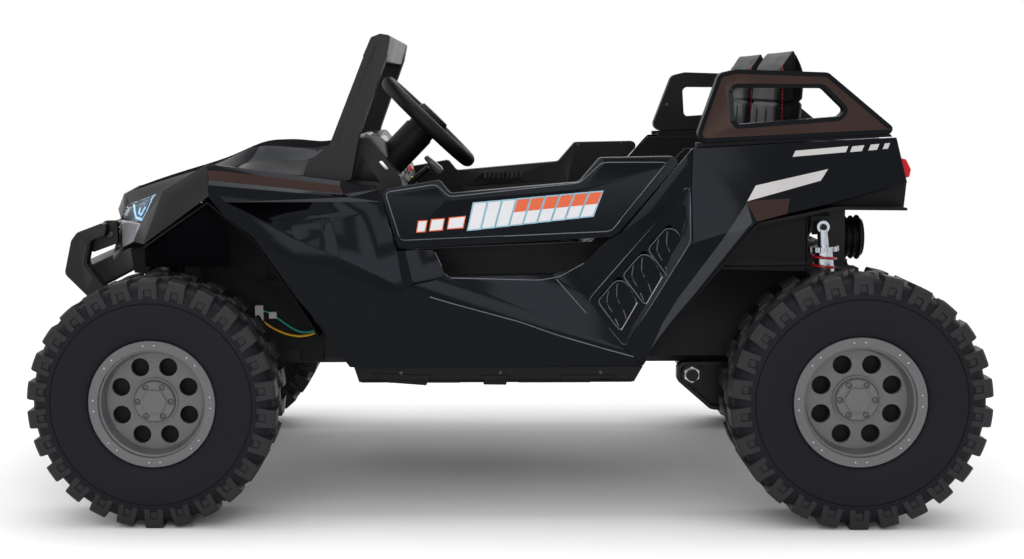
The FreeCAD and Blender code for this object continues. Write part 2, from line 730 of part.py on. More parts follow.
def make_frame():
    """Welded steel frame: rails, cross tubes, front subframe and spring towers."""
    side = frame_tube / 2
    rail_y = frame_half_width
    front_top = front_shock_ends()[0]
    rear_top = rear_shock_ends()[0]
    tower_y = arm_in_y - 15.0
    rail = square_tube(frame_rear_x, frame_front_x, rail_y, pan_z)
    solids = [rail]
    for x in (frame_front_x - side, 0.0, arm_pivot_x + 40, frame_rear_x + side):
        solids.append(box(x - side, x + side, -rail_y, rail_y, pan_z, floor_z))
    arm_end = arm_out_y + 12
    solids.append(rod(V(arm_pivot_x, -arm_end, arm_pivot_z), V(arm_pivot_x, arm_end, arm_pivot_z),
                      pivot_radius))
    low_z, low_spread = front_pivots()[0]
    high_z, high_spread = front_pivots()[1]
    reach = rail_y + 36
    for x in (front_x - low_spread, front_x + low_spread):
        solids.append(box(x - side, x + side, rail_y - side, rail_y + side, low_z - 14, pan_z))
        solids.append(rod(V(x, -reach, low_z), V(x, reach, low_z), pivot_radius))
    for x in (front_x - high_spread, front_x + high_spread):
        solids.append(rod(V(x, rail_y, high_z), V(x, reach, high_z), pivot_radius))
        solids.append(box(x - side, x + side, rail_y - side, rail_y + side, floor_z - 1, high_z + 12))
    tower_top = front_top.z + 12
    solids.append(box(front_x - side, front_x + side, rail_y - side, rail_y + side, floor_z - 1, tower_top))
    solids.append(rod(V(front_x, rail_y, front_top.z), V(front_x, front_top.y + 10, front_top.z),
                      bolt_radius))
    solids.append(box(rear_x - side, rear_x + side, rail_y, tower_y, pan_z, floor_z))
    beam_z = rear_top.z + 25
    solids.append(box(rear_x - side, rear_x + side, tower_y - frame_tube, tower_y, pan_z, beam_z))
    solids.append(box(rear_x, rear_top.x + 12, tower_y - 4, tower_y, rear_top.z - 15, rear_top.z + 15))
    solids.append(rod(V(rear_top.x, tower_y - 4, rear_top.z), V(rear_top.x, arm_out_y + 2, rear_top.z),
                      bolt_radius))
    solids += [mirrored(solid) for solid in solids]
    solids.append(box(rear_x - side, rear_x + side, -tower_y, tower_y, beam_z - frame_tube, beam_z))
    solids.append(box(front_x - side, front_x + side, -rail_y, rail_y, tower_top - frame_tube, tower_top))
    return fused(solids)


def sheet_xz(line, wall, y_from, y_to):
    """Bent sheet: a line of (x, z) points given an even wall on the right of its direction."""
    normals = []
    for (x1, z1), (x2, z2) in zip(line, line[1:]):
        along = V(x2 - x1, 0, z2 - z1).normalize()
        normals.append(V(along.z, 0, -along.x))
    back = []
    for index, (x, z) in enumerate(line):
        before = normals[max(index - 1, 0)]
        after = normals[min(index, len(normals) - 1)]
        offset = (before + after) * (wall / (1 + before.dot(after)))
        back.append((x + offset.x, z + offset.z))
    return prism_xz(line + back[::-1], y_from, y_to)


def make_tub():
    """Cockpit moulding: floor, firewall, bench, back wall, steps and the sides with their arch ledge."""
    wall = panel_wall
    low = floor_z
    front = front_x - 263.5
    bench_x = rear_x + 423.5
    bench_back = rear_x + 113.5
    floor = box(rear_x + 133.5, front, -tub_y, tub_y, low, low + wall)
    fire = box(front - wall, front, -tub_y, tub_y, low, cowl_z - 75)
    riser = box(bench_x - wall, bench_x, -tub_y, tub_y, low, bench_z)
    bench = box(bench_back, bench_x, -tub_y, tub_y, bench_z - wall, bench_z)
    back = prism_xz([(bench_back, bench_z - wall), (bench_back + 4, bench_z), (rear_x + 57.5, belt_z + 18),
                     (rear_x + 53.5, belt_z + 18)], -tub_y, tub_y)
    side_outline = [(front, low), (front, cowl_z - 75), (front_x - 353.5, cowl_z - 75),
                    (front_x - 403.5, axle_z + 230), (rear_x + 403.5, axle_z + 240),
                    (rear_x + 253.5, belt_z + 10), (rear_x + 25.5, belt_z + 10),
                    (rear_x + 25.5, belt_z - 100), (rear_x + 48.5, belt_z - 100),
                    (rear_x + 56.5, belt_z - 108), (rear_x + 56.5, axle_z + 100), (rear_x + 133.5, low)]
    side = prism_xz(side_outline, tub_y - wall, tub_y)
    step = box(bench_x, front_x - 403.5, tub_y - 1, half - 5, axle_z + 184, axle_z + 188)
    lip = sheet_xz([(rear_x + 56.5, axle_z + 205), (rear_x + 56.5, belt_z - 108),
                    (rear_x + 48.5, belt_z - 100), (rear_x + 25.5, belt_z - 100)], 2.5,
                   tub_y - 1, tub_y + 3)
    ledge = prism_xz([(rear_x + 193.5, axle_z + 192), (rear_x + 193.5, axle_z + 198),
                      (rear_x + 59.5, axle_z + 198), (rear_x + 59.5, axle_z + 188)],
                     tub_y - 1, tub_y + 3)
    solids = [side, step, lip, ledge]
    solids += [mirrored(solid) for solid in solids]
    return fused([floor, fire, riser, bench, back] + solids)


def make_dashboard(hood_space):
    """Dashboard with its raised cowl, instrument pod and grab bars, open round the steering column."""
    half_cowl = half - 123
    cowl = prism_xz(placed([(-269.5, 51), (-308.5, 65), (-339.5, 67), (-390.5, 1), (-403.5, -53),
                            (-393.5, -74), (-269.5, -74)], front_x, cowl_z),
                    -half_cowl, half_cowl, 8.0)
    wings = prism_xz(placed([(-269.5, -7), (-349.5, -13), (-357.5, -45), (-351.5, -74), (-269.5, -74)],
                            front_x, cowl_z), -(half - 70), half - 70)
    pod = prism_xz(placed([(-321.5, 61), (-347.5, 95), (-377.5, 89), (-383.5, 55), (-363.5, 27)], front_x,
                          cowl_z), steering_wheel_y - 62,
                   steering_wheel_y + 62, 9.0)
    dash = fused([cowl, wings, pod])
    start = steering_centre
    clear = rod(start, start + column_down * 190, column_radius + seat_gap)
    return dash.cut([clear, hood_space])


def make_column():
    """Steering column housing with the bore that the wheel's shaft turns in."""
    start = steering_centre + column_down * 22
    end = steering_centre + column_down * 176
    housing = rod(start, end, column_radius)
    bore = rod(start - column_down, start + column_down * 130, axle_radius + running_clearance)
    return housing.cut([bore])


def make_steering_wheel():
    """Rim, three spokes, centre pad and shaft."""
    rim = Part.makeTorus(steering_rim_radius, steering_rim_tube)
    pad = Part.makeCone(34, 27, 14, V(0, 0, 4))
    solids = [rim, Part.makeCylinder(30, 18, V(0, 0, -10)), pad]
    for angle in (90, 210, 330):
        spoke = Part.makeBox(steering_rim_radius - 20, 22, 9, V(20, -11, -5))
        spoke.rotate(V(0, 0, 0), V(0, 0, 1), angle)
        solids.append(spoke)
    solids.append(rod(V(0, 0, -120), V(0, 0, 0), axle_radius))
    wheel = fused(solids)
    wheel.Placement = FreeCAD.Placement(steering_centre, FreeCAD.Rotation(V(0, 0, 1), column_down * -1))
    return wheel


def ring_of_facets(profile, count):
    """Closed ring about Y from (radius, y) points, in flat steps, one for each lug."""
    faces = []
    step = 2 * math.pi / count
    for index in range(count):
        for (r1, y1), (r2, y2) in zip(profile, profile[1:] + profile[:1]):
            corners = []
            for radius, y, angle in ((r1, y1, index), (r2, y2, index), (r2, y2, index + 1),
                                     (r1, y1, index + 1)):
                turn = step * (angle % count)
                corners.append(V(radius * math.cos(turn), y, radius * math.sin(turn)))
            faces.append(Part.Face(Part.makePolygon(corners + corners[:1])))
    solid = Part.makeSolid(Part.makeShell(faces))
    if solid.Volume < 0:
        solid.reverse()
    return solid


def make_tyre():
    """Hollow tyre with shoulder lugs and staggered middle blocks, round the origin."""
    w = tyre_width / 2
    r = tyre_diameter / 2
    base = r - tread_depth
    bore = (rim_radius + seat_gap) / math.cos(math.pi / tread_lug_count)
    wall = tyre_wall
    profile = [(bore, -w + 14), (base - 26, -w), (base, -w + 9), (base, w - 9), (base - 26, w),
               (bore, w - 14)]
    hollow = [(bore + wall, -w + 24), (base - wall, -w + 22), (base - wall, w - 22), (bore + wall, w - 24)]
    body = ring_of_facets(profile, tread_lug_count).cut(ring_of_facets(hollow, tread_lug_count // 2))
    lug_half = 0.32 * 2 * math.pi * r / tread_lug_count
    side = [(base - 2, w - 26), (r, w - 26), (r, w - 3), (base - 19, w - 3)]
    corners = [V(radius, y, -lug_half) for radius, y in side]
    lug = Part.Face(Part.makePolygon(corners + corners[:1])).extrude(V(0, 0, 2 * lug_half))
    step = 360.0 / tread_lug_count
    origin = V(0, 0, 0)
    axis = V(0, 1, 0)
    blocks = around(origin, axis, tread_lug_count, lug, step / 2)
    blocks += around(origin, axis, tread_lug_count, mirrored(lug), step / 2)
    return fused([body] + blocks)


def make_wheel(outward):
    """Deep-dish wheel round the origin: stepped face, round holes, hub boss and cap."""
    w = tyre_width / 2
    lip = w - rim_setback
    r_in = rim_radius - rim_barrel_wall
    disc_in = disc_out - disc_thickness
    bore = axle_radius + running_clearance
    profile = [
        (bore, disc_out - hub_boss_length),
        (hub_boss_radius, disc_out - hub_boss_length),
        (hub_boss_radius + 4, disc_in),
        (r_in, disc_in),
        (r_in, -lip + 5),
        (rim_radius, -lip + 5),
        (rim_radius, lip - 3),
        (rim_lip_radius, lip - 3),
        (rim_lip_radius, lip - 1),
        (rim_lip_radius - 1, lip),
        (r_in - 5, lip - 1),
        (r_in - 6, lip - 8),
        (r_in - 9, lip - 9),
        (r_in - 11, lip - 16),
        (r_in - 14, disc_out),
        (hub_cap_radius + 3, disc_out),
        (hub_cap_radius + 3, disc_out + 3),
        (hub_cap_radius, disc_out + 3),
        (hub_cap_radius - 1, disc_out + hub_cap_height - 2),
        (hub_cap_radius - 3, disc_out + hub_cap_height),
        (0, disc_out + hub_cap_height),
        (0, disc_out),
        (bore, disc_out),
    ]
    origin = V(0, 0, 0)
    axis = V(0, 1, 0)
    solid = turned([(radius, y * outward) for radius, y in profile], origin)
    hole = rod(V(disc_hole_circle, (disc_in - 5) * outward, 0),
               V(disc_hole_circle, (disc_out + 5) * outward, 0),
               disc_hole_radius)
    face_y = (disc_out + hub_cap_height) * outward
    pocket = rod(V(hub_bolt_circle, face_y - 3 * outward, 0), V(hub_bolt_circle, face_y + 5 * outward, 0),
                 5.0)
    holes = around(origin, axis, disc_hole_count, hole, 180.0 / disc_hole_count)
    solid = solid.cut(holes + around(origin, axis, hub_bolt_count, pocket))
    corners = [V(21 * math.cos(math.radians(60 * i)), face_y - outward, 21 * math.sin(math.radians(60 * i)))
               for i in range(6)]
    boss = Part.Face(rounded_wire(corners, 5.0)).extrude(V(0, 4 * outward, 0))
    return fused([solid, boss])


def make_knuckle():
    """Left front knuckle: upright, kingpin ends, stub axle and steering arm."""
    upright = rod(V(front_x, kingpin_y, axle_z - kingpin_half_height + seat_gap),
                  V(front_x, kingpin_y, axle_z + kingpin_half_height - seat_gap), 13)
    reach = kingpin_half_height + kingpin_eye_height
    pin = rod(V(front_x, kingpin_y, axle_z - reach), V(front_x, kingpin_y, axle_z + reach), axle_radius)
    stub = rod(V(front_x, kingpin_y, axle_z), V(front_x, stub_end_y, axle_z), axle_radius)
    collar = rod(V(front_x, kingpin_y, axle_z), V(front_x, kingpin_y + 16, axle_z), axle_radius + 3)
    arm = box(front_x - steering_arm_length, front_x, kingpin_y - 7, kingpin_y + 7, axle_z - 4, axle_z + 4)
    pad = rod(V(front_x - steering_arm_length, kingpin_y, axle_z - 4),
              V(front_x - steering_arm_length, kingpin_y, axle_z + 4), 12)
    return fused([upright, pin, stub, collar, arm, pad])


def make_tie_rod():
    """Tie rod under both steering arms."""
    x = front_x - steering_arm_length
    top = axle_z - 4 - seat_gap
    bar = rod(V(x, -kingpin_y, top - 6), V(x, kingpin_y, top - 6), 6)
    eye = rod(V(x, kingpin_y, top - 12), V(x, kingpin_y, top), 12)
    return fused([bar, eye, mirrored(eye)])


def make_front_arms():
    """Upper and lower wishbones of both sides."""
    shock_low = front_shock_ends()[1]
    inner = frame_half_width + 14
    outer = frame_half_width + 38
    solids = []
    for side, (pivot_z, spread) in zip((-1, 1), front_pivots()):
        eye_mid = axle_z + side * (kingpin_half_height + kingpin_eye_height / 2)
        eye_low = V(front_x, kingpin_y, eye_mid - kingpin_eye_height / 2)
        eye_high = eye_low + V(0, 0, kingpin_eye_height)
        wishbone = [rod(eye_low, eye_high, 17)]
        cuts = [rod(eye_low - V(0, 0, 1), eye_high + V(0, 0, 1), axle_radius + running_clearance)]
        for x in (front_x - spread, front_x + spread):
            wishbone.append(rod(V(x, inner, pivot_z), V(x, outer, pivot_z), pivot_radius + eye_wall))
            wishbone.append(rod(V(x, outer - 10, pivot_z), V(front_x, kingpin_y - 4, eye_mid),
                                wishbone_tube))
            cuts.append(rod(V(x, inner - 14, pivot_z), V(x, outer - 1.5, pivot_z), pivot_radius + seat_gap))
        if side < 0:
            y = shock_low.y
            wishbone.append(box(front_x - 22, front_x + 22, y + 9, y + 15, pivot_z - 16, shock_low.z + 10))
            wishbone.append(rod(V(front_x, y - 7, shock_low.z), V(front_x, y + 12, shock_low.z),
                                bolt_radius))
        solids.append(fused(wishbone).cut(cuts))
    return both_sides(Part.makeCompound(solids))


def coil_over(top, bottom):
    """Spring unit between two eyes: notched collar, bellied body between the seats, and the damper's rod."""
    along = (bottom - top).normalize()
    length = (bottom - top).Length
    across = V(0, 1, 0)
    collar_at = 32.0
    seat_at = length - 24.0
    belly = (collar_at + seat_at) / 2
    profile = [(0, 0), (damper_radius + 1, 0), (damper_radius + 1, collar_at),
               (spring_radius + 4, collar_at),
               (spring_radius + 4, collar_at + 8), (spring_radius - 6, collar_at + 8),
               (spring_radius - 3.5, belly), (spring_radius - 6, seat_at), (spring_radius + 2, seat_at),
               (spring_radius + 2, seat_at + 5), (damper_radius + 3, seat_at + 8),
               (damper_radius, seat_at + 16),
               (damper_radius, length), (0, length)]
    corners = [V(radius, 0, down) for radius, down in profile]
    body = Part.Face(Part.makePolygon(corners + corners[:1])).revolve(V(0, 0, 0), V(0, 0, 1), 360)
    notch = Part.makeBox(6, 5, 10, V(spring_radius + 1.5, -2.5, collar_at - 1))
    body = body.cut(around(V(0, 0, 0), V(0, 0, 1), 12, notch))
    body.Placement = FreeCAD.Placement(top, FreeCAD.Rotation(V(0, 0, 1), along))
    solids = [body]
    cuts = []
    for eye in (top, bottom):
        solids.append(Part.makeCylinder(eye_radius, 14, eye - across * 7, across))
        cuts.append(Part.makeCylinder(bolt_radius + seat_gap, 30, eye - across * 15, across))
    return fused(solids).cut(cuts)


def make_front_shocks():
    """Front spring units of both sides."""
    return both_sides(coil_over(*front_shock_ends()))


def make_rear_shocks():
    """Rear spring units of both sides."""
    return both_sides(coil_over(*rear_shock_ends()))


def make_swing_arm():
    """Rear swing arm: two deep side arms of channel section, the axle tube and the stub axles."""
    rear_low = rear_shock_ends()[1]
    outline = [
        (arm_pivot_x + 24, arm_pivot_z + 20),
        (arm_pivot_x + 24, arm_pivot_z - 10),
        (arm_pivot_x - 30, axle_z - 40),
        (arm_pivot_x - 100, axle_z - 50),
        (rear_x, axle_z - 32),
        (rear_x - 34, axle_z),
        (rear_x, axle_z + 36),
        (rear_x + 80, axle_z + 40),
    ]
    arm = prism_xz(outline, arm_in_y, arm_out_y, 12.0)
    pan = prism_xz(inset(outline, 6.0), arm_in_y + 8, arm_out_y + 1, 8.0)
    hub = rod(V(arm_pivot_x, arm_in_y + 2, arm_pivot_z), V(arm_pivot_x, arm_out_y + 2, arm_pivot_z),
              pivot_radius + 7)
    web = prism_xz([(rear_x - 12, axle_z - 16), (rear_x - 12, axle_z + 16), (rear_x + 60, axle_z + 28),
                    (rear_x + 60, axle_z - 28)], arm_in_y + 4, arm_out_y - 3)
    lug = box(rear_low.x - 12, rear_low.x + 12, arm_out_y - 1, arm_out_y + 3, axle_z + 26, rear_low.z + 10)
    pin = rod(V(rear_low.x, arm_in_y + 3, rear_low.z), V(rear_low.x, arm_out_y, rear_low.z), bolt_radius)
    bore = rod(V(arm_pivot_x, arm_in_y - 10, arm_pivot_z), V(arm_pivot_x, arm_out_y + 10, arm_pivot_z),
               pivot_radius + seat_gap)
    arm = fused([arm.cut(pan), hub, web, lug, pin]).cut(bore)
    axle = rod(V(rear_x, -stub_end_y, axle_z), V(rear_x, stub_end_y, axle_z), axle_radius)
    tube = rod(V(rear_x, -arm_in_y - 10, axle_z), V(rear_x, arm_in_y + 10, axle_z), 16)
    return fused([arm, mirrored(arm), axle, tube])


def make_motors():
    """Gear motors hung on the rear axle tube."""
    x = rear_x + 62
    z = axle_z - 8
    gear_y = arm_in_y - 18
    case = rod(V(x, gear_y - 112, z), V(x, gear_y, z), 30)
    nose_end = rod(V(x, gear_y - 120, z), V(x, gear_y - 112, z), 12)
    gear = prism_xz([(rear_x - 30, axle_z - 28), (rear_x - 30, axle_z + 22), (x, axle_z + 22),
                     (x + 34, axle_z - 8), (x, axle_z - 38)], gear_y, arm_in_y - 1, 12.0)
    unit = fused([case, nose_end, gear])
    unit = unit.cut(rod(V(rear_x, gear_y - 160, axle_z), V(rear_x, arm_out_y, axle_z), 16 + seat_gap))
    return both_sides(unit)


# Upper shell behind the seats

def hoop_plane_y(x, z):
    """Outer face of the roll hoop, which narrows rearwards and upwards."""
    return half - 15.0 + (x - rear_x - 248.5) * 0.0957 - (z - belt_z - 12.0) * 0.1


def make_hoop():
    """Left roll hoop: a raised rim round a recessed face, and the window with its bead."""
    outline = placed([(245.5, 20), (205.5, 129), (179.5, 135), (32.5, 128), (-70.5, 40), (-67.5, 30)],
                     rear_x, belt_z)
    window = placed([(184.5, 106), (40.5, 103), (5.5, 68), (15.5, 58), (180.5, 48)], rear_x, belt_z)
    hoop = leaning_plate(outline, [window], hoop_plane_y, hoop_thickness, 14.0, 9.0)
    field = leaning_plate(inset(outline, hoop_rim), [inset(window, -8.0)],
                          lambda x, z: hoop_plane_y(x, z) + 10, 13.0, 7.0, 12.0)
    return hoop.cut(field)


def make_rear_deck():
    """Deck behind the seats and the tail face below it."""
    deck = prism_xz(placed([(51.5, 15), (51.5, 20), (-72.5, 20), (-90.5, -48), (-85.5, -48), (-68.5, 15)],
                           rear_x, belt_z),
                    -tub_y, tub_y)
    rib = prism_xz(placed([(-73.5, 10), (-78.5, 10), (-87.5, -24), (-82.5, -24)], rear_x, belt_z),
                   -(tub_y - 80), tub_y - 80)
    ledge = leaning_plate(placed([(241.5, 13), (241.5, 19.7), (-66.5, 29.7), (-70.5, 24.8)], rear_x,
                                 belt_z), [],
                          lambda x, z: hoop_plane_y(x, z) - 6, hoop_thickness - 8)
    rail = box(rear_x - 66.5, rear_x + 233.5, tub_y, tub_y + 18, belt_z + 10, belt_z + 19)
    return fused([deck, rib, ledge, rail, mirrored(ledge), mirrored(rail)])


def make_tail_lamps():
    """Red corner lamps on the tail face."""
    lamp = prism_xz(placed([(-80.25, -8), (-96.5, -11.5), (-107.5, -29.5), (-104.5, -43.5), (-90.3, -46)],
                           rear_x, belt_z),
                    half - 129, half - 51, 3.0)
    return both_sides(lamp)


def make_tail_horn():
    """Ribbed round housing of each side, on the back of the rear cross tube."""
    x = rear_x - frame_tube / 2 - seat_gap
    low = V(x, arm_in_y - 65, belt_z - 145)
    solids = [rod(low, low - V(36, 0, 0), 31)]
    for index in range(3):
        rib = low - V(7 + 10 * index, 0, 0)
        solids.append(rod(rib, rib - V(4, 0, 0), 35 + index))
    ring = rod(low - V(0, 0, 52), low - V(14, 0, 52), 12)
    neck = box(x - 10, x, low.y - 6, low.y + 6, low.z - 45, low.z - 20)
    hole = rod(low - V(-2, 0, 52), low - V(20, 0, 52), 6)
    bowl = rod(low - V(30, 0, 0), low - V(45, 0, 0), 24)
    return both_sides(fused(solids + [ring, neck]).cut([hole, bowl]))


def make_front_liner():
    """Inner front moulding: arch roofs over both wheels and the walls beside the frame."""
    line = placed([(28.5, 240), (-79.5, 314), (-157.5, 248), (-221.5, 152), (-259.5, 90)], front_x, axle_z)
    wall_y = frame_half_width + 16
    roof = sheet_xz(line[::-1], 3, wall_y, half - 35)
    wall_outline = placed([(46.5, 184), (70.5, 184), (76.5, 224)], front_x, axle_z) + line
    wall_outline += [(line[-1][0], floor_z), (front_x - 75.5, floor_z), (front_x - 33.5, axle_z + 230),
                     (front_x + 26.5, axle_z + 224)]
    wall = prism_xz(wall_outline, wall_y, wall_y + 4)
    patch = prism_xz(placed([(-156.5, 168), (-156.5, 196), (-192.5, 196), (-201.5, 168)], front_x, axle_z),
                     wall_y + 3.5, wall_y + 6, 4.0)
    rail_side = frame_half_width + frame_tube / 2 + seat_gap
    foot = box(front_x - 253.5, front_x - 213.5, rail_side, wall_y + 4, pan_z + 4, floor_z + 8)
    left = fused([roof, wall, foot, patch])
    bridge = box(front_x + 46.5, front_x + 50.5, -wall_y - 4, wall_y + 4, axle_z + 184, axle_z + 224)
    return fused([left, mirrored(left), bridge])


def swept(points, radius):
    """Round wire along a smooth curve through points."""
    curve = Part.BSplineCurve()
    curve.interpolate(Points=points)
    ring = Part.Wire(Part.makeCircle(radius, points[0], points[1] - points[0]))
    return Part.Wire(curve.toShape()).makePipeShell([ring], True, True)


def make_wiring():
    """Two wires with their plugs, led along the front liner's wall to its roof."""
    face_y = frame_half_width + 20 + seat_gap
    teal = [V(front_x - 145.5, face_y + 3, axle_z + 118), V(front_x - 161.5, face_y + 6, axle_z + 114),
            V(front_x - 176.5, face_y + 9, axle_z + 105),
            V(front_x - 197.5, face_y + 13, axle_z + 91), V(front_x - 215.5, face_y + 17, axle_z + 83),
            V(front_x - 234.5, face_y + 22, axle_z + 84),
            V(front_x - 250.5, face_y + 27, axle_z + 96)]
    yellow = [V(front_x - 145.5, face_y + 3, axle_z + 103), V(front_x - 162.5, face_y + 6, axle_z + 91),
              V(front_x - 180.5, face_y + 9, axle_z + 82),
              V(front_x - 201.5, face_y + 12, axle_z + 76), V(front_x - 224.5, face_y + 16, axle_z + 76),
              V(front_x - 241.5, face_y + 19, axle_z + 82),
              V(front_x - 254, face_y + 22, axle_z + 90)]
    plug = box(front_x - 151.5, front_x - 137.5, face_y, face_y + 8, axle_z + 95, axle_z + 127)
    joint = box(front_x - 174.5, front_x - 161.5, face_y + 3, face_y + 11, axle_z + 105, axle_z + 116)
    return fused([plug, joint, swept(teal, wire_radius), swept(yellow, wire_radius)])


def make_rear_liner():
    """Inner rear moulding: arch roofs and the tray under the tail."""
    low = axle_z + 62
    roof = prism_xz([(rear_x + 313.5, low), (rear_x + 291.5, axle_z + 96), (rear_x + 144.5, belt_z - 112),
                     (rear_x + 23.5, belt_z - 88),
                     (rear_x - 86.5, belt_z - 90), (rear_x - 86.5, belt_z - 86),
                     (rear_x + 23.5, belt_z - 83), (rear_x + 145.5, belt_z - 107),
                     (rear_x + 295.5, axle_z + 100), (rear_x + 317.5, low)], tub_y + seat_gap, half - 14)
    tray = prism_xz(placed([(24.5, -90), (-86.5, -90), (-86.5, -86), (24.5, -86)], rear_x, belt_z),
                    -tub_y - 1, tub_y + 1)
    solids = [roof, mirrored(roof), tray]
    for index in range(5):
        y = (index - 2) * 90.0
        solids.append(box(rear_x - 78.5, rear_x + 17.5, y - 2, y + 2, belt_z - 95.5, belt_z - 89))
    return fused(solids)


# Seats and battery

def make_seat_cushions():
    """Seat cushions of both places."""
    outer = tub_y - 12
    low = bench_z + seat_gap
    top = bench_z + cushion_height
    cushion = prism_xz([(rear_x + 411.5, low), (rear_x + 417.5, top), (rear_x + 393.5, top + 12),
                        (rear_x + 173.5, top), (rear_x + 161.5, low)],
                       seat_gap_middle / 2 + 1, outer, 5.0)
    return both_sides(cushion)


def make_seat_backs():
    """Seat backs of both places, with their raised heads."""
    back = [(rear_x + 155.5, axle_z + 232), (rear_x + 165.5, axle_z + 270), (rear_x + 113.5, belt_z + 42),
            (rear_x + 103.5, belt_z + 137),
            (rear_x + 73.5, belt_z + 164), (rear_x + 39.5, belt_z + 136), (rear_x + 44.5, belt_z + 41),
            (rear_x + 58.1, belt_z + 19),
            (rear_x + 113.5, axle_z + 200), (rear_x + 151.5, axle_z + 200)]
    return both_sides(prism_xz(back, seat_gap_middle, tub_y - 20, 6.0))


def make_battery():
    """Battery block on the floor under the bench."""
    return box(rear_x + 153.5, rear_x + 333.5, -90, 90, floor_z + panel_wall, floor_z + 96)


def save(name, shape):
    """Write one node."""
    shape.exportStep("parts/" + name + ".step")


def main():
    """Build every node and write it."""
    os.makedirs("parts", exist_ok=True)
    nose = make_nose()
    hood = hood_shell(panel_wall)
    hood_space = hood_shell(90.0)
    save("undertray", make_undertray())
    save("frame", make_frame())
    save("nose", nose)
    save("hood", hood)
    save("headlamps", both_sides(make_headlamp(nose, hood)))
    save("front_bumper", make_bumper())
    save("windscreen_frame", make_windscreen_frame(hood_space))
    save("dashboard", make_dashboard(hood_space))
    save("steering_column", make_column())
    save("cockpit_tub", make_tub())
    save("front_liner", make_front_liner())
    save("rear_liner", make_rear_liner())
    save("wiring", make_wiring())
    save("rear_deck", make_rear_deck())
    save("tail_lamps", make_tail_lamps())
    save("tail_horn", make_tail_horn())
    save("seat_cushions", make_seat_cushions())
    save("seat_backs", make_seat_backs())
    save("battery", make_battery())
    save("front_arms", make_front_arms())
    save("front_shocks", make_front_shocks())
    save("rear_shocks", make_rear_shocks())
    save("swing_arm", make_swing_arm())
    save("motors", make_motors())
    save("steering_wheel", make_steering_wheel())
    save("tie_rod", make_tie_rod())
    left_pieces = {
        "side_panel": make_side_panel(),
        "vent_panel": make_vent_panel(),
        "rear_quarter": make_quarter(),
        "hoop": make_hoop(),
        "door": make_door(),
        "knuckle": make_knuckle(),
    }
    for name, shape in left_pieces.items():
        save(name + "_left", shape)
        save(name + "_right", mirrored(shape))
    tyre = make_tyre()
    for end, x in (("front", front_x), ("rear", rear_x)):
        for side, sign in (("left", 1), ("right", -1)):
            place = V(x, sign * wheel_y, axle_z)
            save("tyre_%s_%s" % (end, side), tyre.translated(place))
            save("wheel_%s_%s" % (end, side), make_wheel(sign).translated(place))


main()
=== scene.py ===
"""Looks of a child's two-seat battery ride-on buggy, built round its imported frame.

Lengths are metres in the frame's own axes: +X forward, +Y to the vehicle's left, +Z up, with the
origin on the floor midway between the axles. Sizes whose names end in _mm and outlines are millimetres.
"""

import json
import logging
import math
from dataclasses import dataclass
from enum import Enum
from typing import Callable, Iterable

import bmesh
import bpy
from bmesh.types import BMesh
from bpy.types import ID, Material, Mesh, Node, NodeSocket, NodeTree, Object
from mathutils import Matrix, Vector
from mathutils.bvhtree import BVHTree

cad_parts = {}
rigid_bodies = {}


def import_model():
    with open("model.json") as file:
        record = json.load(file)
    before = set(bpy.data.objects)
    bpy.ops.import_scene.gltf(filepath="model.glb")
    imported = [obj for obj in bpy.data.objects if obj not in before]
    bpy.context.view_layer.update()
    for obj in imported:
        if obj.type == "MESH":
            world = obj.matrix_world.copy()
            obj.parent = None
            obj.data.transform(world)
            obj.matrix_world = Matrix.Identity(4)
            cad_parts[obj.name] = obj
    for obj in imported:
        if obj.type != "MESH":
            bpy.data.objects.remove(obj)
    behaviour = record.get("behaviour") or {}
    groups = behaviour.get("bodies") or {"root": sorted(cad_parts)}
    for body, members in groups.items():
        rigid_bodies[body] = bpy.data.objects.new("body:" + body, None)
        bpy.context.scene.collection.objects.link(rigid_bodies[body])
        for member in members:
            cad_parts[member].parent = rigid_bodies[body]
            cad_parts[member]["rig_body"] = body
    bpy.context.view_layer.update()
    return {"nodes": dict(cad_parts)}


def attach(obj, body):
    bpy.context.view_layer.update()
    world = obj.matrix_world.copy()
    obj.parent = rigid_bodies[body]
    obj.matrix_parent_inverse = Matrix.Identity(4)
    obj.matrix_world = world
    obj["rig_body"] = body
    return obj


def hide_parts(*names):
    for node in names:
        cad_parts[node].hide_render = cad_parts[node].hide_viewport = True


LOG = logging.getLogger("buggy")
MM = 0.001
WELD_MM = 0.002
LOOSE_MM = 0.02
CLOUD_MM = 120.0
BRUSH_STRETCH = (1.0, 0.03, 1.0)
FLAT_DEGREES = 0.6
BEVEL_DEGREES = 14
ANY = (-math.inf, math.inf)
SIDES = (("left", 1), ("right", -1))

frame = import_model()


def srgb(code: str) -> tuple:
    """Turn an sRGB hex colour into Blender's linear one.

    Args:
        code: six hex digits after a hash.

    Returns:
        Linear red, green, blue and an alpha of one.
    """
    parts = [int(code[i:i + 2], 16) / 255 for i in (1, 3, 5)]
    return tuple(c / 12.92 if c <= 0.04045 else ((c + 0.055) / 1.055) ** 2.4 for c in parts) + (1.0,)


def add_node(tree: NodeTree, kind: str, links: dict = None, **settings) -> Node:
    """Add a node with its settings and links.

    Args:
        tree: the tree that gets the node.
        kind: Blender's identifier of the node.
        links: input name or number to an output, to a node with one output in use, or to a plain value.
        settings: attributes of the node.

    Returns:
        The new node.
    """
    node = tree.nodes.new(kind)
    for name, value in settings.items():
        setattr(node, name, value)
    for name, value in (links or {}).items():
        if isinstance(value, Node):
            value = next(socket for socket in value.outputs if socket.enabled)
        if isinstance(value, NodeSocket):
            tree.links.new(value, node.inputs[name])
        else:
            node.inputs[name].default_value = value
    return node


def bare_tree(owner: ID) -> NodeTree:
    """Give a material or a world an empty node tree."""
    owner.use_nodes = True
    owner.node_tree.nodes.clear()
    return owner.node_tree


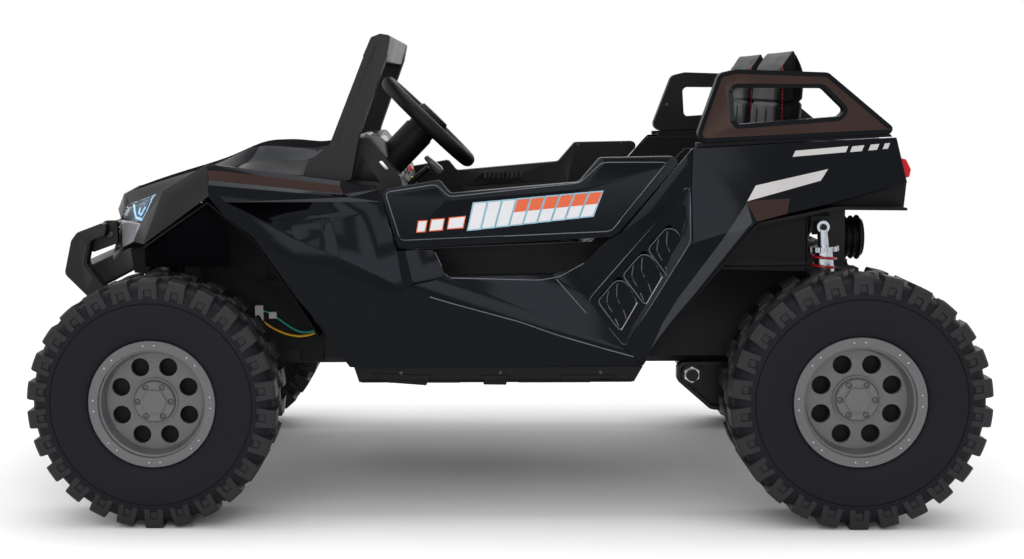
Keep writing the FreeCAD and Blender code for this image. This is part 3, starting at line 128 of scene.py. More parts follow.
def linked(name: str, data: ID) -> Object:
    """Put a mesh, a lamp or a camera into the scene as a new object."""
    made = bpy.data.objects.new(name, data)
    bpy.context.scene.collection.objects.link(made)
    return made


def evaluated_mesh(thing: Object) -> Mesh:
    """Make a plain mesh of an object with its modifiers applied, and drop the object."""
    result = bpy.data.meshes.new_from_object(thing.evaluated_get(bpy.context.evaluated_depsgraph_get()))
    bpy.data.objects.remove(thing)
    return result


def ray_ground(mesh: Mesh) -> BVHTree:
    """Prepare a mesh for rays."""
    places = [vert.co for vert in mesh.vertices]
    return BVHTree.FromPolygons(places, [tuple(face.vertices) for face in mesh.polygons])


class Grain(Enum):
    """How a surface's fine relief is drawn."""

    NOISE = "noise"
    CELLS = "cells"
    BRUSHED = "brushed"
    FLAKE = "flake"


@dataclass(frozen=True)
class Finish:
    """A real material with the surface that its making left; some also carry painted light or shade, as their
    comments say.

    Attributes:
        name: common name of the material and its process.
        slot: the record's slot that it is meant for; not used.
        colour: sRGB hex colour of the body.
        tint: sRGB hex colour that the large soft variation leads to.
        roughness: mean roughness.
        roughness_spread: how far the roughness wanders over the piece.
        metallic: one for bare metal.
        ior: index of refraction, for what isn't a metal.
        specular: level of the mirror-like reflection.
        glint: sRGB hex tint of that reflection.
        grain: how the relief is drawn.
        grain_mm: size of one grain.
        relief_mm: height of the relief.
        transmission: share of light that passes.
        emission: strength of its own light.
    """

    name: str
    slot: str
    colour: str
    tint: str
    roughness: float
    roughness_spread: float = 0.04
    metallic: float = 0.0
    ior: float = 1.5
    specular: float = 0.5
    glint: str = "#ffffff"
    grain: Grain = Grain.NOISE
    grain_mm: float = 1.0
    relief_mm: float = 0.02
    transmission: float = 0.0
    emission: float = 0.0

    def material(self) -> Material:
        """Build the node material once, and return the same one after that."""
        found = bpy.data.materials.get(self.name)
        if found:
            return found
        made = bpy.data.materials.new(self.name)
        tree = bare_tree(made)
        place = add_node(tree, "ShaderNodeTexCoord").outputs["Object"]
        per_metre = 1 / (CLOUD_MM * MM)
        broad = add_node(tree, "ShaderNodeTexNoise", {"Vector": place, "Scale": per_metre, "Detail": 3.0})
        height = self.height(tree, place)
        share = broad.outputs["Fac"]
        if self.grain in (Grain.FLAKE, Grain.CELLS, Grain.BRUSHED):
            share = add_node(tree, "ShaderNodeMath", {0: share, 1: height},
                             operation="MULTIPLY").outputs["Value"]
        colour = add_node(tree, "ShaderNodeMix", {"Factor": share}, data_type="RGBA")
        colour.inputs["A"].default_value = srgb(self.colour)
        colour.inputs["B"].default_value = srgb(self.tint)
        rough = add_node(tree, "ShaderNodeMapRange", {
            "Value": broad.outputs["Fac"],
            "From Min": 0.3,
            "From Max": 0.7,
            "To Min": max(self.roughness - self.roughness_spread, 0.02),
            "To Max": min(self.roughness + self.roughness_spread, 1.0),
        })
        bump = add_node(tree, "ShaderNodeBump", {"Height": height, "Distance": self.relief_mm * MM})
        shader = add_node(tree, "ShaderNodeBsdfPrincipled", {
            "Base Color": colour,
            "Roughness": rough,
            "Metallic": self.metallic,
            "Specular IOR Level": self.specular,
            "Specular Tint": srgb(self.glint),
            "Transmission Weight": self.transmission,
            "Normal": bump,
        })
        if not self.metallic:
            shader.inputs["IOR"].default_value = self.ior
        if self.emission:
            shader.inputs["Emission Color"].default_value = srgb(self.colour)
            shader.inputs["Emission Strength"].default_value = self.emission
        add_node(tree, "ShaderNodeOutputMaterial", {"Surface": shader})
        return made

    def height(self, tree: NodeTree, place: NodeSocket) -> NodeSocket:
        """Draw the fine relief's height.

        Args:
            tree: the material's tree.
            place: output with the object coordinates.

        Returns:
            The height, from about zero to one.
        """
        per_metre = 1 / (self.grain_mm * MM)
        if self.grain is Grain.CELLS:
            return add_node(tree, "ShaderNodeTexVoronoi", {"Vector": place, "Scale": per_metre},
                            feature="SMOOTH_F1").outputs["Distance"]
        if self.grain is Grain.FLAKE:
            return add_node(tree, "ShaderNodeTexVoronoi",
                            {"Vector": place, "Scale": per_metre}).outputs["Color"]
        if self.grain is Grain.BRUSHED:
            place = add_node(tree, "ShaderNodeMapping",
                             {"Vector": place, "Scale": BRUSH_STRETCH}).outputs["Vector"]
        return add_node(tree, "ShaderNodeTexNoise", {"Vector": place, "Scale": per_metre,
                                                     "Detail": 2.0}).outputs["Fac"]


# High-gloss ABS off a polished mould: black and wet-looking, with a faint long ripple in what it mirrors, and
# a painted cool-blue tint on its reflections.
GLOSS_ABS = Finish("abs_gloss_moulded", "gloss_shell", "#040406", "#08080b", 0.11, 0.02, ior=1.22,
                   specular=0.55, glint="#e2ebfb", grain_mm=95, relief_mm=0.16)
# The same moulding coloured brown with a warm tint on what it mirrors, a painted warm reflection on the bands
# that catch warm light.
PAINTED_BROWN_REFLECTION_ABS = Finish("abs_gloss_painted_brown_reflection", "gloss_shell", "#2c211e", "#3a2d29", 0.08, 0.02, ior=1.22,
                    specular=0.55, glint="#ffe0d2", grain_mm=95, relief_mm=0.16)
# The level top of the hood, a flat grey that mirrors nothing at a glancing view: a painted dull sheen in
# place of the gloss top's reflection.
HOOD_TOP_PAINTED_SHEEN_ABS = Finish("abs_hood_top_painted_sheen", "gloss_shell", "#121214", "#1c1c1f", 0.4, 0.04, specular=0.0,
                     grain_mm=1.4, relief_mm=0.04)
# Half-matt black ABS, a shade lighter, on the rear quarter's slanting edge: a painted sheen which reads as
# slate beside the gloss.
PAINTED_SHEEN_SLATE_ABS = Finish("abs_half_matt_painted_sheen", "gloss_shell", "#1b1e22", "#272b30", 0.3, 0.05, specular=0.3,
                   grain_mm=1.4, relief_mm=0.03)
# Polypropylene off a spark-eroded mould: near black with a soft brown-grey sheen. Also laid on the fender's
# front facet as a painted brown-grey sheen.
SATIN_PP_AND_SHEEN = Finish("polypropylene_satin_and_painted_sheen", "satin_shell", "#110f10", "#1a1718", 0.38, 0.05,
                  specular=0.22, grain_mm=0.9, relief_mm=0.04)
# Pale grey ABS, moulded in its colour and left with a light polish.
GREY_ABS = Finish("abs_grey_moulded", "satin_shell", "#5c5a5d", "#6a686b", 0.22, 0.04, grain_mm=1.2,
                  relief_mm=0.02)
# The same, paler and glossier, on the panels under the headlamps, and as painted highlights on the vent
# slots' lower edges.
PALE_ABS_AND_HIGHLIGHT = Finish("abs_pale_grey_and_painted_highlight", "satin_shell", "#838187", "#918f95", 0.16, 0.04, grain_mm=1.2,
                  relief_mm=0.02)
# A lighter grey on thin beads along the shell's creases, rims and vents: a painted highlight that shows as a
# thin light line.
PAINTED_HIGHLIGHT_ABS = Finish("abs_painted_highlight_bead", "gloss_shell", "#4a4e54", "#61666d", 0.2, 0.04, grain_mm=6.0,
                  relief_mm=0.02)
# Printed film with a brushed-metal pattern, drawn coarser than real so that its lines show.
BRUSHED_FILM = Finish("film_brushed_grey", "satin_shell", "#24211f", "#56514e", 0.38, 0.05, specular=0.3,
                      grain=Grain.BRUSHED, grain_mm=1.6, relief_mm=0.03)
# Polypropylene off a coarser mould, for liners and trays, with a dull face. Also painted shade on the
# bumper's far side and the windscreen posts' rear and inner faces, and a painted dull sheen on the doors'
# tops and the hoops' rims in place of their gloss reflection.
MATTE_PP_AND_PAINTED_SHADE = Finish("polypropylene_matte_and_painted_shade", "undertray_plastic", "#09090b", "#101013", 0.52, 0.06,
                  specular=0.14, grain_mm=1.6, relief_mm=0.06)
# The same, rough, darker and without any reflection, as painted shade above the front wheel.
SHADED_LINER_PP = Finish("polypropylene_liner_painted_shade", "undertray_plastic", "#08080a", "#0b0b0e", 0.7, 0.05,
                  specular=0.0, grain_mm=1.6, relief_mm=0.06)
# EVA foam rubber, moulded: dull charcoal that greys a little where it is handled.
TYRE_EVA = Finish("eva_rubber_moulded", "tyre", "#121216", "#19191e", 0.58, 0.08, specular=0.12,
                  grain_mm=2.2, relief_mm=0.05)
# The blocks of the tread, a shade greyer with mould dust.
TREAD_EVA = Finish("eva_rubber_tread", "tyre", "#151517", "#242427", 0.5, 0.08, specular=0.24, grain_mm=3.0,
                   relief_mm=0.09)
# Sprayed grey paint on moulded plastic: an even satin with a fine metal flake, drawn coarse enough to show.
WHEEL_PAINT = Finish("spray_paint_satin_grey", "wheel_plastic", "#525254", "#666668", 0.36, 0.04,
                     grain=Grain.FLAKE, grain_mm=1.4, relief_mm=0.01)
# Dome of a plated rivet, brighter than the paint round it.
RIVET_STEEL = Finish("steel_rivet_nickel", "wheel_plastic", "#c9c8c6", "#b4b3b1", 0.25, 0.04, grain_mm=2.0,
                     relief_mm=0.01)
# Powder coat on steel tube: low sheen with a slight orange peel.
POWDER_COAT = Finish("steel_powder_coated", "frame_steel", "#0b0b0c", "#121213", 0.4, 0.05, specular=0.2,
                     grain_mm=1.8, relief_mm=0.05)
# Bright zinc plate on turned steel: silver with a blue cast.
ZINC = Finish("steel_zinc_plated", "shock_metal", "#c3c8cf", "#9ea3a9", 0.24, 0.06, metallic=1.0,
              grain_mm=3.2, relief_mm=0.02)
# Black oxide on small screws.
BLACK_OXIDE = Finish("steel_black_oxide", "frame_steel", "#1a1a1c", "#26262a", 0.3, 0.05, grain_mm=0.8,
                     relief_mm=0.01)
# Spring wire dipped in red enamel.
SPRING_RED = Finish("spring_steel_red_enamel", "shock_metal", "#b3121a", "#8f0f17", 0.22, 0.03,
                    grain_mm=6.0, relief_mm=0.03)
# Polyurethane leatherette: black with pebble cells and a soft sheen.
LEATHERETTE = Finish("leatherette_embossed", "seat_leather", "#0a0a0c", "#151519", 0.44, 0.06,
                     specular=0.06, grain=Grain.CELLS, grain_mm=2.6, relief_mm=0.22)
# Bonded polyester thread, red.
THREAD_RED = Finish("thread_polyester_red", "seat_leather", "#c01a22", "#9c1218", 0.6, 0.05, grain_mm=0.7,
                    relief_mm=0.1)
# Polycarbonate lens, clear and polished.
CLEAR_PC = Finish("polycarbonate_clear", "lamp_clear", "#e4edf3", "#eef4f8", 0.03, 0.01, ior=1.2,
                  specular=0.9, relief_mm=0.0, transmission=1.0)
# Aluminium vapour on a moulded reflector: a dark mirror.
REFLECTOR = Finish("reflector_metallised", "lamp_clear", "#b4bac2", "#888f98", 0.3, 0.08, metallic=1.0,
                   grain_mm=5.0, relief_mm=0.1)
# White diodes behind a blue diffuser, lit.
LED_BLUE = Finish("diode_diffuser_blue", "lamp_clear", "#9fcdee", "#bfe0f6", 0.3, 0.05, grain_mm=3.0,
                  relief_mm=0.05, emission=0.6)
# Polycarbonate lens coloured red through its whole wall.
RED_PC = Finish("polycarbonate_red", "lamp_red", "#c00a16", "#d0101c", 0.1, 0.02, ior=1.58, specular=0.2,
                relief_mm=0.0, transmission=0.1, emission=0.04)
# Vinyl sticker, silver grey.
VINYL_SILVER = Finish("vinyl_film_silver", "gloss_shell", "#b4b1b1", "#c6c3c3", 0.3, 0.04, grain_mm=1.2,
                      relief_mm=0.01)
# Vinyl sticker, white, orange and pale blue.
VINYL_WHITE = Finish("vinyl_film_white", "gloss_shell", "#cfcfd2", "#dcdcdf", 0.3, 0.04, grain_mm=1.2,
                     relief_mm=0.01)
VINYL_ORANGE = Finish("vinyl_film_orange", "gloss_shell", "#cf4a0a", "#da5a12", 0.3, 0.04, grain_mm=1.2,
                      relief_mm=0.01)
VINYL_BLUE = Finish("vinyl_film_pale_blue", "gloss_shell", "#7fa9bd", "#93bccd", 0.3, 0.04, grain_mm=1.2,
                    relief_mm=0.01)
# PVC insulation of the two leads, and the nylon of their plugs.
PVC_TEAL = Finish("pvc_cover_teal", "wire_cover", "#128a80", "#0f766e", 0.35, 0.05, grain_mm=2.0,
                  relief_mm=0.02)
PVC_YELLOW = Finish("pvc_cover_yellow", "wire_cover", "#d9a514", "#c08f10", 0.35, 0.05, grain_mm=2.0,
                    relief_mm=0.02)
NYLON_PALE = Finish("nylon_moulded_pale", "wire_cover", "#9d9b97", "#b3b1ad", 0.4, 0.05, grain_mm=1.4,
                    relief_mm=0.03)
# Acrylic buttons on the dashboard; the red one glows as painted light.
BUTTON_RED_PAINTED_GLOW = Finish("acrylic_button_red_painted_glow", "lamp_red", "#e01823", "#c21019", 0.15, 0.03, relief_mm=0.0,
                    emission=0.35)
BUTTON_YELLOW = Finish("acrylic_button_yellow", "satin_shell", "#c9b318", "#b09a10", 0.2, 0.03,
                       relief_mm=0.0)


def to_mesh(work: BMesh, name: str, merge_mm: float = 0.0) -> Mesh:
    """Close a working mesh and hand it back as a plain one.

    Args:
        work: the working mesh, which is freed.
        name: name of the new mesh.
        merge_mm: distance under which points are merged before the faces are turned outwards.

    Returns:
        The new mesh.
    """
    if merge_mm:
        bmesh.ops.remove_doubles(work, verts=work.verts, dist=merge_mm * MM)
        bmesh.ops.recalc_face_normals(work, faces=work.faces)
    mesh = bpy.data.meshes.new(name)
    work.to_mesh(mesh)
    work.free()
    return mesh


def skin(work: BMesh, rings: Iterable, closed: bool = False) -> None:
    """Join rings of points by quads, each ring to the next.

    Args:
        work: the working mesh.
        rings: lists of equally many points.
        closed: whether the last ring joins the first.
    """
    rings = list(rings)
    for ring, after in zip(rings, rings[1:] + rings[:1] if closed else rings[1:]):
        for corners in zip(ring, ring[1:] + ring[:1], after[1:] + after[:1], after):
            work.faces.new(corners)


def lathe(name: str, profile: Iterable, count: int) -> Mesh:
    """Turn a closed profile about the Y axis.

    Args:
        name: name of the mesh.
        profile: radius and Y of each corner, in millimetres.
        count: faces round the axis.

    Returns:
        The closed mesh.
    """
    work = bmesh.new()
    rings = []
    for index in range(count):
        turn = 2 * math.pi * index / count
        rings.append([work.verts.new((r * MM * math.sin(turn), y * MM, r * MM * math.cos(turn)))
                      for r, y in profile])
    skin(work, rings, True)
    return to_mesh(work, name, WELD_MM)


def turned(name: str, profile: Iterable, faces: int, place: tuple) -> Mesh:
    """Turn a profile of radius and rise about an axis along Y.

    Args:
        name: name of the mesh.
        profile: radius and rise above the face of each corner, in millimetres.
        faces: faces round the axis.
        place: X and Z of the axis and, between them, Y of the face.

    Returns:
        The closed mesh.
    """
    x, y, z = place
    mesh = lathe(name, [(radius, y + rise) for radius, rise in profile], faces)
    return placed(mesh, Matrix.Translation((x * MM, 0, z * MM)))


def prism(name: str, outline: Iterable, y_from: float, y_to: float, round_mm: float = 0.0) -> Mesh:
    """Extrude an outline along Y, with its edges rounded.

    Args:
        name: name of the mesh.
        outline: X and Z of each corner, in millimetres.
        y_from: one end.
        y_to: other end.
        round_mm: radius of the rounded edges.

    Returns:
        The closed mesh.
    """
    work = bmesh.new()
    near, far = ([work.verts.new((x * MM, y * MM, z * MM)) for x, z in outline] for y in (y_from, y_to))
    work.faces.new(near)
    work.faces.new(reversed(far))
    skin(work, (far, near))
    if round_mm:
        bmesh.ops.bevel(work, geom=list(work.edges), offset=round_mm * MM, segments=3, profile=0.5,
                        affect="EDGES", clamp_overlap=True)
    return to_mesh(work, name, WELD_MM)


def tube(name: str, points: Iterable, radius_mm: float, sides: int = 8) -> Mesh:
    """Lay a round bar along points, with closed ends.

    Args:
        name: name of the mesh.
        points: places in millimetres.
        radius_mm: radius of the bar.
        sides: faces round it.

    Returns:
        The closed mesh.
    """
    line = [Vector(point) for point in points]
    work = bmesh.new()
    rings = []
    for index, point in enumerate(line):
        ahead = (line[min(index + 1, len(line) - 1)] - line[max(index - 1, 0)]).normalized()
        across = ahead.cross(Vector((0, 0, 1)) if abs(ahead.z) < 0.9 else Vector((1, 0, 0))).normalized()
        up = across.cross(ahead)
        rings.append([work.verts.new((point + radius_mm * (across * math.cos(turn)
                                                           + up * math.sin(turn))) * MM)
                      for turn in (2 * math.pi * side / sides for side in range(sides))])
    skin(work, rings)
    work.faces.new(reversed(rings[0]))
    work.faces.new(rings[-1])
    return to_mesh(work, name, WELD_MM)


def placed(mesh: Mesh, matrix: Matrix) -> Mesh:
    """Move a mesh by a matrix, with its faces still outward after a mirror."""
    mesh.transform(matrix)
    if matrix.determinant() < 0:
        mesh.flip_normals()
    return mesh


def handed(mesh: Mesh, side: int) -> Mesh:
    """Hand a left-hand mesh back as it is, or mirrored where the side is minus one."""
    return placed(mesh, mirrored_y()) if side < 0 else mesh


def joined(name: str, meshes: Iterable) -> Mesh:
    """Join meshes into one, and drop the old ones.

    Args:
        name: name of the new mesh.
        meshes: what is joined.

    Returns:
        One mesh.
    """
    work = bmesh.new()
    for mesh in meshes:
        work.from_mesh(mesh)
        bpy.data.meshes.remove(mesh)
    return to_mesh(work, name)


def mirrored_y() -> Matrix:
    """Matrix that swaps the vehicle's left and right."""
    return Matrix.Scale(-1, 4, (0, 1, 0))


class Pattern:
    """Geometry Nodes trees that repeat a small shape, and the call that turns one into a plain mesh."""

    def __init__(self) -> None:
        """Build every tree once."""
        self.ring = self.ring_tree()
        self.path = self.path_tree()
        self.coil = self.coil_tree()
        self.spots = self.spots_tree()

    @staticmethod
    def start(name: str, sockets: Iterable) -> tuple:
        """Begin a tree with its named inputs.

        Args:
            name: name of the tree.
            sockets: name and type of each input.

        Returns:
            The tree and its input node.
        """
        tree = bpy.data.node_groups.new(name, "GeometryNodeTree")
        for label, kind in sockets:
            tree.interface.new_socket(name=label, in_out="INPUT", socket_type=kind)
        tree.interface.new_socket(name="Geometry", in_out="OUTPUT", socket_type="NodeSocketGeometry")
        return tree, add_node(tree, "NodeGroupInput")

    @staticmethod
    def end(tree: NodeTree, shape: Node, given: Node) -> None:
        """Close a tree with Realize Instances and Set Material.

        Args:
            tree: the tree.
            shape: node with the geometry so far.
            given: its input node.
        """
        whole = add_node(tree, "GeometryNodeRealizeInstances", {"Geometry": shape})
        dressed_shape = add_node(tree, "GeometryNodeSetMaterial", {"Geometry": whole,
                                                                   "Material": given.outputs["Material"]})
        add_node(tree, "NodeGroupOutput", {"Geometry": dressed_shape})

    def copies(self, tree: NodeTree, given: Node, points: Node, rotation: Node) -> NodeTree:
        """Set the template at every point and close the tree.

        Args:
            tree: the tree.
            given: its input node.
            points: node with the points.
            rotation: node with the turn of each copy.

        Returns:
            The closed tree.
        """
        shape = add_node(tree, "GeometryNodeObjectInfo", {"Object": given.outputs["Template"]})
        whole = add_node(tree, "GeometryNodeInstanceOnPoints",
                         {"Points": points, "Instance": shape.outputs["Geometry"], "Rotation": rotation})
        self.end(tree, whole, given)
        return tree

    def ring_tree(self) -> NodeTree:
        """Tree that sets a template evenly round the Y axis."""
        tree, given = self.start("ring", (("Template", "NodeSocketObject"), ("Count", "NodeSocketInt"),
                                          ("Phase", "NodeSocketFloat"), ("Material", "NodeSocketMaterial")))
        points = add_node(tree, "GeometryNodePoints", {"Count": given.outputs["Count"]})
        index = add_node(tree, "GeometryNodeInputIndex")
        share = add_node(tree, "ShaderNodeMath", {0: index, 1: given.outputs["Count"]}, operation="DIVIDE")
        turn = add_node(tree, "ShaderNodeMath", {0: share, 1: 2 * math.pi,
                                                 2: given.outputs["Phase"]}, operation="MULTIPLY_ADD")
        angles = add_node(tree, "ShaderNodeCombineXYZ", {"Y": turn})
        rotation = add_node(tree, "FunctionNodeEulerToRotation", {0: angles})
        return self.copies(tree, given, points, rotation)

    def path_tree(self) -> NodeTree:
        """Tree that sets a template along a line at even steps, its X axis along the line."""
        tree, given = self.start("path", (("Geometry", "NodeSocketGeometry"),
                                          ("Template", "NodeSocketObject"), ("Spacing", "NodeSocketFloat"),
                                          ("Material", "NodeSocketMaterial")))
        line = add_node(tree, "GeometryNodeMeshToCurve", {"Mesh": given.outputs["Geometry"]})
        steps = add_node(tree, "GeometryNodeResampleCurve",
                         {"Curve": line, "Length": given.outputs["Spacing"]}, mode="LENGTH")
        tangent = add_node(tree, "GeometryNodeInputTangent")
        rotation = add_node(tree, "FunctionNodeAlignRotationToVector", {"Vector": tangent}, axis="X")
        return self.copies(tree, given, steps, rotation)

    def coil_tree(self) -> NodeTree:
        """Tree that winds a round wire about the Z axis, upwards from the origin."""
        tree, given = self.start("coil", (("Turns", "NodeSocketFloat"), ("Radius", "NodeSocketFloat"),
                                          ("Height", "NodeSocketFloat"), ("Wire", "NodeSocketFloat"),
                                          ("Material", "NodeSocketMaterial")))
        line = add_node(tree, "GeometryNodeCurveSpiral", {
            "Resolution": 24, "Rotations": given.outputs["Turns"], "Start Radius": given.outputs["Radius"],
            "End Radius": given.outputs["Radius"], "Height": given.outputs["Height"]})
        section = add_node(tree, "GeometryNodeCurvePrimitiveCircle", {"Resolution": 10,
                                                                      "Radius": given.outputs["Wire"]})
        wire = add_node(tree, "GeometryNodeCurveToMesh", {
            "Curve": line, "Profile Curve": section, "Fill Caps": True})
        self.end(tree, wire, given)
        return tree

    def spots_tree(self) -> NodeTree:
        """Tree that sets a template at each point of a mesh, all turned alike."""
        tree, given = self.start("spots", (("Geometry", "NodeSocketGeometry"),
                                           ("Template", "NodeSocketObject"), ("Turn", "NodeSocketVector"),
                                           ("Material", "NodeSocketMaterial")))
        points = add_node(tree, "GeometryNodeMeshToPoints", {"Mesh": given.outputs["Geometry"]})
        rotation = add_node(tree, "FunctionNodeEulerToRotation", {0: given.outputs["Turn"]})
        return self.copies(tree, given, points, rotation)

    @staticmethod
    def run(tree: NodeTree, name: str, finish: Finish, template: Mesh = None,
            points: Iterable = (), closed: bool = False, **inputs) -> Mesh:
        """Run a tree and hand back the plain mesh.

        Args:
            tree: one of the trees above.
            name: name of the new mesh.
            finish: material that the tree sets.
            template: the small shape that is repeated, which is dropped afterwards.
            points: places in millimetres that the tree works on, joined in a line.
            closed: whether the line goes back to its start.
            inputs: values of the tree's other inputs.

        Returns:
            The mesh with its instances realized.
        """
        ground = bpy.data.meshes.new(name)
        places = [Vector(point) * MM for point in points]
        edges = [(i, i + 1) for i in range(len(places) - 1)]
        if closed:
            edges.append((len(places) - 1, 0))
        ground.from_pydata(places, edges, [])
        carrier = linked(name + "_carrier", ground)
        values = dict(inputs, Material=finish.material())
        sample = None
        if template is not None:
            sample = linked(name + "_template", template)
            values["Template"] = sample
        modifier = carrier.modifiers.new("pattern", "NODES")
        modifier.node_group = tree
        for socket in tree.interface.items_tree:
            if socket.in_out == "INPUT" and socket.name in values:
                modifier[socket.identifier] = values[socket.name]
        result = evaluated_mesh(carrier)
        bpy.data.meshes.remove(ground)
        if sample is not None:
            bpy.data.objects.remove(sample)
            bpy.data.meshes.remove(template)
        result.name = name
        return result


def fresh_object(name: str, mesh: Mesh, finish: Finish, body: str, smooth: float = 35.0) -> Object:
    """Put a mesh into the scene as a finished piece that rides a body.

    Args:
        name: the piece's name.
        mesh: its mesh, already in place.
        finish: what it is made of, unless the mesh has its materials.
        body: the frame's body that carries it.
        smooth: angle in degrees above which an edge stays sharp.

    Returns:
        The object.
    """
    mesh.name = name
    if not mesh.materials:
        mesh.materials.append(finish.material())
    shade(mesh, smooth)
    piece = linked(name, mesh)
    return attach(piece, body)


def body_of_node(node: str) -> str:
    """Name the body that a frame node belongs to."""
    return frame["nodes"][node]["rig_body"]


def merged_copy(node: str) -> Mesh:
    """Copy a frame node's mesh with its loose triangles merged and its flat faces joined.

    Args:
        node: the frame node.

    Returns:
        A new mesh that the piece may finish.
    """
    work = bmesh.new()
    work.from_mesh(frame["nodes"][node].data)
    bmesh.ops.remove_doubles(work, verts=work.verts, dist=LOOSE_MM * MM)
    bmesh.ops.dissolve_limit(work, angle_limit=math.radians(FLAT_DEGREES), verts=work.verts, edges=work.edges,
                             delimit={"NORMAL"})
    return to_mesh(work, node + "_skin")


def shade(mesh: Mesh, angle: float) -> None:
    """Shade a mesh smooth, apart from its edges sharper than an angle in degrees."""
    for face in mesh.polygons:
        face.use_smooth = True
    mesh.set_sharp_from_angle(angle=math.radians(angle))


@dataclass(frozen=True)
class Faces:
    """Test of a face by open ranges, each left out where it doesn't matter.

    Attributes:
        x: X of the face's centre, in millimetres.
        across: the centre's distance from the middle plane.
        z: the centre's Z.
        ahead: the normal's X.
        out: the normal's Y, counted outwards from the middle plane.
        up: the normal's Z.
    """

    x: tuple = ANY
    across: tuple = ANY
    z: tuple = ANY
    ahead: tuple = ANY
    out: tuple = ANY
    up: tuple = ANY

    def __call__(self, centre: Vector, normal: Vector) -> bool:
        """Tell whether a face lies inside every range."""
        outward = normal.y * math.copysign(1.0, centre.y)
        values = (centre.x, abs(centre.y), centre.z, normal.x, outward, normal.z)
        ranges = (self.x, self.across, self.z, self.ahead, self.out, self.up)
        return all(low < value < high for value, (low, high) in zip(values, ranges))


def paint(mesh: Mesh, finish: Finish, tests: Iterable) -> None:
    """Give the faces that pass any of the tests another finish.

    Args:
        mesh: the mesh, with its first material set.
        finish: the other finish.
        tests: each takes a face's centre in millimetres and its normal.
    """
    mesh.materials.append(finish.material())
    last = len(mesh.materials) - 1
    for face in mesh.polygons:
        if any(test(face.center / MM, face.normal) for test in tests):
            face.material_index = last


def dressed(node: str, finish: Finish, edge_mm: float, segments: int = 2, painted: Iterable = (),
            shape: Callable = None) -> Object:
    """Stand a rounded copy in for a frame node.

    Args:
        node: the frame node.
        finish: what it is made of.
        edge_mm: radius of its rounded edges.
        segments: faces across a rounded edge.
        painted: other finishes and the tests of their faces.
        shape: takes the working mesh and changes its form.

    Returns:
        The finished piece.
    """
    mesh = merged_copy(node)
    if shape:
        work = bmesh.new()
        work.from_mesh(mesh)
        shape(work)
        bpy.data.meshes.remove(mesh)
        mesh = to_mesh(work, node + "_skin")
    mesh.materials.append(finish.material())
    for other, *tests in painted:
        paint(mesh, other, tests)
    piece = fresh_object(node + "_skin", mesh, finish, body_of_node(node))
    if edge_mm:
        bevel = piece.modifiers.new("rounded_edges", "BEVEL")
        bevel.width = edge_mm * MM
        bevel.segments = segments
        bevel.limit_method = "ANGLE"
        bevel.angle_limit = math.radians(BEVEL_DEGREES)
        bevel.use_clamp_overlap = True
        bevel.harden_normals = True
        bevel.miter_outer = "MITER_ARC"
    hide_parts(node)
    LOG.info("%s dressed", node)
    return piece


